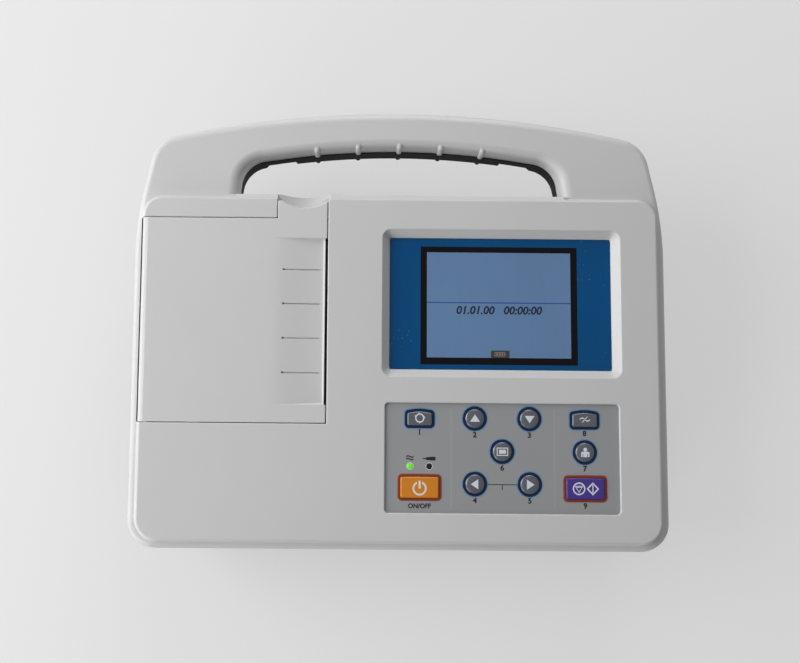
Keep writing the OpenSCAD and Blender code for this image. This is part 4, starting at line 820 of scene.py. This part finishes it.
def circuit_board(name, level, cells_more=0):
    """Green solder resist with copper tracks and pads, and black components above level (mm)."""
    finish = moulded(name, srgb(16, 74, 46), 0.35, grain=0.3, depth=0.004, mottle=0.12)
    x, y, z = axes(finish)
    nodes, links = graph(finish)
    cells = add_node(nodes, "TexVoronoi", Scale=260 + cells_more)
    cells.distance = "MANHATTAN"
    links.new(nodes["Texture Coordinate"].outputs["Object"], cells.inputs["Vector"])
    distance = cells.outputs["Distance"]
    between = reckon(finish, "GREATER_THAN", distance, 0.6)
    tracks = reckon(finish, "MULTIPLY", lines(finish, x, 2.54, 0.2), between)
    overlay_colour(finish, tracks, srgb(38, 112, 70))
    overlay_colour(finish, reckon(finish, "LESS_THAN", distance, 0.16), srgb(196, 186, 150))
    overlay_colour(finish, reckon(finish, "GREATER_THAN", z, (level + 0.05) * MM), srgb(28, 28, 30))
    return finish


zinc = metal("zinc_plate", srgb(186, 188, 190), 0.32)
refine("key_mat", moulded("silicone", srgb(196, 196, 190), 0.6, grain=0.5, Subsurface_Weight=0.1))
refine("keypad_board", circuit_board("keypad_circuit", 61.6))
KEYPAD_SCREWS = [(x, y) for x in (-3.35, 101.65) for y in (-85.4, -40.2)]


def crosses(spots, z, size=1.1, depth=1.0):
    """Tools that cut a cross recess, centred on z, into each screw head."""
    return [prism("cross", block(x, y, a, b), z - depth, z + depth)
            for x, y in spots for a, b in ((size, size * 0.22), (size * 0.22, size))]


refine("keypad_screws", zinc, cuts=crosses(KEYPAD_SCREWS, 58.5))
refine("lcd_module", metal("display_frame", srgb(170, 172, 176), 0.4), soften=0.3)

# ---- Paper door ----
# A thin moulded plate that closes the recorder bay. It turns on a pin along its left side, carries
# the platen in two cheeks, and has a hollow with four fine grooves where the paper comes out.
DOOR_FRONT, DOOR_REAR, DOOR_UNDER = -46.8, 52.2, 67.5
PAPER_SPAN = (-38.2, 42.7)
PIN = (-121.5, 66.6)  # x and z of the hinge pin
PLATEN = (-42, 61.5)  # x and z of the platen
door_plan = [(-123, DOOR_FRONT, 0), (-35.3, DOOR_FRONT, 0.7), (-35.3, 61, 0.7), (-59.5, 61, 0.7),
             (-59.5, DOOR_REAR, 0), (-123, DOOR_REAR, 0)]
door = build(outline("door_moulding", door_plan, DOOR_UNDER), [(0, 2)] + round_over(0.5, 0.5, 4))
HOLLOW = [(-62.3, 70), (-58, 69.88), (-54, 69.58), (-50, 69.2), (-46, 68.85), (-42, 68.55), (-39.5, 68.42),
          (-38, 68.36), (-37.2, 68.38), (-36.95, 68.5), (-36.75, 68.75), (-36.6, 68.9), (-36.45, 68.95),
          (-35, 68.95), (-35, 71), (-62.3, 71)]


def section(name, points, y0, y1):
    """A block with a section (x, z) in mm, from y0 to y1."""
    piece = outline(name, [(x, z, 0) for x, z in points], 0)
    build(piece, [(0, y1 - y0)])
    for vertex in piece.data.vertices:
        x, z, y = vertex.co
        vertex.co = (x, y1 * MM - y, z)
    return piece


# The rolled lip along the hinge side, a little lower at its two ends.
LIP = [(-124.4, 66.3), (-122.6, 67.5), (-121.5, 67.5), (-121.5, 70), (-122.2, 70), (-123, 69.96),
       (-123.7, 69.8), (-124.3, 69.45), (-124.8, 68.9), (-125.2, 68.2), (-125.5, 67.3), (-125.6, 66.3)]
lip = section("lip", LIP, DOOR_FRONT, DOOR_REAR)
for vertex in lip.data.vertices:
    y, z = vertex.co.y / MM, vertex.co.z / MM
    if min(abs(y - DOOR_REAR), abs(y - DOOR_FRONT)) < 0.01 and z > 69.7:
        vertex.co.z -= 0.15 * MM
carve(door, lip, operation="UNION")
carve(door, scoop(0.5))
hollow = section("hollow", HOLLOW, *PAPER_SPAN)
for vertex in hollow.data.vertices:
    vertex.co.y -= math.copysign(0.6, vertex.co.y) * (DECK_TOP * MM - vertex.co.z)
carve(door, hollow, prism("slot", oblong(-36.2, -34, *PAPER_SPAN), 66, 71))
# The grooves follow the slope of the hollow, and their bottoms are half as wide as their tops.
for y in (27.25, 10.58, -6.08, -22.75):
    groove = outline("groove", oblong(-56.6, -38.4, y - 0.5, y + 0.2, 0.33), 72, facing=-1)
    build(groove, [(0, 1), (0, 2)], facing=-1)
    for vertex in groove.data.vertices:
        px, py, pz = vertex.co / MM
        slope = 69.87 - (px + 57) * 0.079
        if pz < 70:
            end = 0.35 if px > -38.8 else 0
            vertex.co = Vector((px - end, y + 0.2 - (y + 0.2 - py) * 0.5, slope - 0.85)) * MM
        elif pz < 71.5:
            vertex.co = Vector((px, py, slope)) * MM
    carve(door, groove, rod((-56.3, y - 0.05, 68.4), "z", 0.55, 3, 16))
# Four hinge knuckles with their webs, and the two cheeks with holes for the platen's bushes.
for y in (-34.425, -9.675, 15.075, 39.825):
    carve(door, rod((PIN[0], y - 5, PIN[1]), "y", 3, 10),
          prism("web", oblong(PIN[0], -117.5, y - 5, y + 5), 66, 67.7), operation="UNION")
for y in (-45.95, 48.45):
    carve(door, prism("cheek", oblong(-48, -36, y, y + 2), PLATEN[1], 67.7),
          rod((PLATEN[0], y, PLATEN[1]), "y", 5.98, 2), operation="UNION")
    carve(door, rod((PLATEN[0], y - 0.5, PLATEN[1]), "y", 4.02, 3))
carve(door, rod((PIN[0], -47.5, PIN[1]), "y", 1.6, 101))
door_abs = moulded("door_abs", srgb(205, 205, 205), 0.38, grain=0.3, depth=0.012, mottle=0.012)
fit(door, door_abs, "door", "paper_door")

# ---- Door's hinge pin and platen ----
# A ground steel pin carries the door. The platen is a steel shaft with a moulded rubber sleeve and
# an acetal gear. It turns in two bushes pressed into the door's cheeks.
steel = metal("steel", srgb(176, 178, 180), 0.22, grain=0.8)
acetal = moulded("ivory_acetal", srgb(228, 221, 200), 0.35, grain=0.4, depth=0.006, Subsurface_Weight=0.05)
refine("hinge_pin", steel, soften=0.3)
refine("platen_bushes", acetal, soften=0.2)
refine("platen_shaft", steel, soften=0.3)
platen = moulded("platen_sleeve", srgb(40, 40, 42), 0.7, grain=0.2)
overlay_colour(platen, lines(platen, axes(platen)[1], 40.2, 0.004), srgb(58, 58, 60))
refine("platen_rubber", platen, soften=0.5)
refine("platen_gear", acetal, soften=0.08)
refine("idler_gear", acetal, soften=0.08)
refine("idler_pin", steel, soften=0.15)

# ---- Feed motor ----
# A geared motor in a plated steel can, bolted behind the chassis wall. Its shaft carries a brass
# pinion that drives the platen through the idler.
motor = metal("motor_case", srgb(168, 170, 172), 0.35)
overlay_colour(motor, lines(motor, axes(motor, (0, 35, 0))[1], 14, 0.03), srgb(96, 97, 99))
refine("feed_motor", motor, soften=0.4)
refine("motor_pinion", metal("brass", srgb(190, 156, 88), 0.3), soften=0.06)

# ---- Thermal head ----
# A ceramic strip with a dark glazed line of heating dots, glued to an aluminium plate that rocks
# on a pin. Two coil springs press it to the platen.
ceramic = moulded("ceramic_head", srgb(206, 200, 186), 0.3, grain=0.5, depth=0.003)
x, y, z = axes(ceramic)
GLAZE = 55.5 * MM  # height above which the strip is glazed dark
overlay_colour(ceramic, reckon(ceramic, "GREATER_THAN", z, GLAZE), srgb(26, 20, 18))
leads = reckon(ceramic, "MULTIPLY", reckon(ceramic, "LESS_THAN", z, GLAZE), lines(ceramic, y, 0.5, 0.3))
overlay_colour(ceramic, leads, srgb(166, 150, 110))
refine("thermal_head", ceramic, soften=0.12)
refine("head_plate", metal("aluminium", srgb(96, 98, 102), 0.45, depth=0.01), soften=0.25)
refine("head_pin", steel, soften=0.2)
refine("head_springs", zinc, angle=60)

# ---- Recorder chassis ----
# A mould of grey plastic with the trough for the roll, the two end walls that take the platen's
# bushes, and the plate over the motor. Four screws hold it down in the tub.
refine("printer_chassis", moulded("grey_chassis", srgb(150, 151, 152), 0.5, depth=0.03), soften=0.3)
CHASSIS_SCREWS = [(x, y) for x in (-109.3, -32.65) for y in (-46.45, 50.95)]
refine("chassis_screws", zinc, soften=0.15, cuts=crosses(CHASSIS_SCREWS, 14.5, 1.4, 0.9))

# ---- Chart paper ----
# A roll of thermal paper printed with a fine pink grid of 1 mm and 5 mm squares, on a card core
# and a plastic spindle. Its end runs over the chassis plate to the platen.
ROLL, ROLL_RADIUS = (-92.3, 0, 39.5), 24


def chart_grid(name, along):
    """Thermal paper with its printed grid. along gives the length along the paper."""
    finish = moulded(name, srgb(244, 238, 230), 0.45, grain=0.3, depth=0.004, mottle=0.01)
    values = along(finish), axes(finish)[1]
    for pitch, share, tint in ((1, 0.13, srgb(240, 206, 200)), (5, 0.045, srgb(228, 158, 152))):
        for value in values:
            overlay_colour(finish, lines(finish, value, pitch, share), tint)
    return finish


def round_roll(finish):
    """Length along the roll's surface."""
    x, y, z = axes(finish, ROLL)
    return reckon(finish, "MULTIPLY", reckon(finish, "ARCTAN2", z, x), ROLL_RADIUS * MM)


roll_paper = chart_grid("roll_paper", round_roll)
# The roll's flat ends show the edges of its layers as fine rings.
x, y, z = axes(roll_paper, ROLL)
squares = [reckon(roll_paper, "MULTIPLY", value, value) for value in (x, z)]
reach = reckon(roll_paper, "SQRT", reckon(roll_paper, "ADD", *squares))
nodes, links = graph(roll_paper)
turned = add_node(nodes, "SeparateXYZ")
links.new(add_node(nodes, "NewGeometry").outputs["Normal"], turned.inputs["Vector"])
at_end = reckon(roll_paper, "GREATER_THAN", reckon(roll_paper, "ABSOLUTE", turned.outputs["Y"]), 0.6)
layers = reckon(roll_paper, "MULTIPLY", at_end, lines(roll_paper, reach, 0.35, 0.25))
overlay_colour(roll_paper, at_end, srgb(240, 234, 226))
overlay_colour(roll_paper, layers, srgb(214, 204, 196))
refine("paper_roll", roll_paper, soften=0.1)
card = moulded("core_card", srgb(178, 150, 118), 0.8, grain=0.5, depth=0.03, mottle=0.08)
refine("roll_core", card, soften=0.1)
refine("roll_spindle", moulded("core_plastic", srgb(206, 207, 206), 0.4, grain=0.4, depth=0.01), soften=0.3)
refine("chart_paper", chart_grid("chart_sheet", lambda finish: axes(finish)[0]))

# ---- Boards, supply and battery ----
# The main board, the patient-lead board with its screening can on brass stand-offs, and the mains
# supply board with a laminated transformer, screwed to bosses in the tub. The battery, a row of
# cells in blue shrink wrap, lies in its well above the hatch.
for node, circuit, cells_more in (("main_board", "main_circuit", 20), ("lead_board", "lead_circuit", 45),
                                  ("power_board", "supply_circuit", 70)):
    board_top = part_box(node)[0][2] / MM + 1.6
    refine(node, circuit_board(circuit, board_top, cells_more), soften=0.12)
refine("shield_can", metal("nickel", srgb(190, 188, 182), 0.25), soften=0.25)
refine("board_standoffs", metal("brass_posts", srgb(188, 154, 88), 0.3), soften=0.2)
winding = moulded("winding", srgb(196, 160, 60), 0.5, grain=0.4, depth=0.01)
x, y, z = axes(winding)
in_core = reckon(winding, "LESS_THAN", z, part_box("transformer")[1][2] - 4 * MM)
overlay_colour(winding, in_core, srgb(72, 72, 76))
overlay_colour(winding, reckon(winding, "MULTIPLY", in_core, lines(winding, y, 0.5, 0.3)), srgb(44, 44, 47))
refine("transformer", winding, soften=0.25)
wrap = moulded("cell_wrap", srgb(38, 66, 132), 0.3, grain=2.5, depth=0.03, mottle=0.05)
overlay_colour(wrap, lines(wrap, axes(wrap, (-3, 0, 0))[0], 20, 0.02), srgb(24, 42, 90))
refine("battery_pack", wrap, soften=0.8)
refine("board_screws", zinc, soften=0.12)

# ---- Battery hatch and speaker ----
# A flush cover of the tub's black plastic closes the battery well with two screws. The speaker's
# paper cone sits behind five slits in the floor.
refine("battery_cover", black_abs, soften=0.25)
COVER_SCREWS = [(-6.2, -72.3), (80.2, -72.3)]
refine("cover_screws", zinc, soften=0.15, cuts=crosses(COVER_SCREWS, 3.1, 1.3, 0.55))
refine("speaker", moulded("speaker_black", srgb(30, 30, 32), 0.7, grain=0.4, depth=0.04), soften=0.3)
refine("housing_screws", zinc, soften=0.2)

# ---- Ports ----
# The appliance inlet and the stud for the earth cord on the left side. On the right, the socket
# for the patient lead with its two jackscrews, and a data socket. Each sits on a flat pad.
refine("mains_inlet", moulded("inlet_black", srgb(26, 26, 28), 0.4, grain=0.4), soften=0.35)
refine("lead_socket", metal("shell_steel", srgb(178, 178, 176), 0.3), soften=0.2)
refine("lead_jackscrews", zinc, soften=0.25)
refine("data_socket", metal("data_shell", srgb(182, 182, 180), 0.25), soften=0.2)
refine("earth_stud", zinc, soften=0.3)


# ---- Stage, light and camera ----
# A plain pale table, a large soft lamp to the left, two weaker ones behind and in front, and a
# little light from all round.
def seen(finish):
    """1 for what the camera, a reflection or clear plastic shows, 0 for light that falls on things."""
    path = finish.node_tree.nodes.new("ShaderNodeLightPath")
    total = 0
    for ray in ("Is Camera Ray", "Is Glossy Ray", "Is Transmission Ray"):
        total = reckon(finish, "ADD", path.outputs[ray], total)
        total.node.use_clamp = True
    return total


deselect()
bpy.ops.mesh.primitive_plane_add(size=20)
floor = bpy.context.object
floor.name = "floor"
table = bpy.data.materials.new("table")
nodes, links = graph(table)
matt = set_inputs(nodes["Principled BSDF"], {"Base Color": (0.8, 0.8, 0.8, 1), "Roughness": 0.8})
pale = add_node(nodes, "Emission", Color=(0.78, 0.78, 0.78, 1))
blend = add_node(nodes, "MixShader")
links.new(reckon(table, "MULTIPLY", seen(table), 0.6), blend.inputs["Fac"])
links.new(matt.outputs["BSDF"], blend.inputs[1])
links.new(pale.outputs["Emission"], blend.inputs[2])
links.new(blend.outputs["Shader"], nodes["Material Output"].inputs["Surface"])
floor.data.materials.append(table)

# Each lamp's place, width and power. All of them point at the middle of the machine.
for name, at, size, power in (("side_lamp", (-0.85, 0.15, 0.55), 0.8, 9),
                              ("rear_lamp", (0.1, 0.95, 0.45), 0.6, 4.2),
                              ("front_lamp", (-0.6, -0.75, 0.3), 0.5, 3.2)):
    bpy.ops.object.light_add(type="AREA")
    lamp = bpy.context.object
    lamp.name = name
    turn = (Vector((0, 0, 0.05)) - Vector(at)).to_track_quat("-Z", "Y")
    lamp.matrix_world = Matrix.Translation(at) @ turn.to_matrix().to_4x4()
    lamp.data.shape = "RECTANGLE"
    lamp.data.size = lamp.data.size_y = size
    lamp.data.energy = power

ALL_ROUND, HORIZON = 0.22, 0.75  # strength of the light from all round, and of its seen horizon
world = bpy.data.worlds.new("studio")
bpy.context.scene.world = world
nodes, links = graph(world)
background = set_inputs(nodes["Background"], {"Color": (1, 1, 1, 1)})
way = add_node(nodes, "TexCoord")
rise = add_node(nodes, "SeparateXYZ")
dome = add_node(nodes, "MapRange", From_Max=0.7, To_Min=HORIZON, To_Max=ALL_ROUND)
level = add_node(nodes, "Mix", A=ALL_ROUND)
links.new(way.outputs["Generated"], rise.inputs["Vector"])
links.new(rise.outputs["Z"], dome.inputs["Value"])
links.new(seen(world), level.inputs["Factor"])
links.new(dome.outputs["Result"], level.inputs["B"])
links.new(level.outputs["Result"], background.inputs["Strength"])

tilt, turn, roll = (math.radians(angle) for angle in (5.1, 0.075, 0.53))
ahead = Vector((math.sin(turn), math.sin(tilt) * math.cos(turn), -math.cos(tilt) * math.cos(turn)))
right = Vector((math.cos(turn), 0, math.sin(turn)))
right = (right - right.dot(ahead) * ahead).normalized()
up = right.cross(ahead)
right, up = right * math.cos(roll) + up * math.sin(roll), up * math.cos(roll) - right * math.sin(roll)
bpy.ops.object.camera_add()
camera = bpy.context.object
stand = Matrix.Translation((-0.025, -0.0425, 0.51418))
camera.matrix_world = stand @ Matrix((right, up, -ahead)).transposed().to_4x4()
camera.data.sensor_width = 36
camera.data.sensor_fit = "HORIZONTAL"
camera.data.lens = 41.715
camera.data.shift_x = 0.0638
camera.data.clip_start = 0.01
bpy.context.scene.camera = camera
bpy.context.scene.view_settings.view_transform = "Standard"
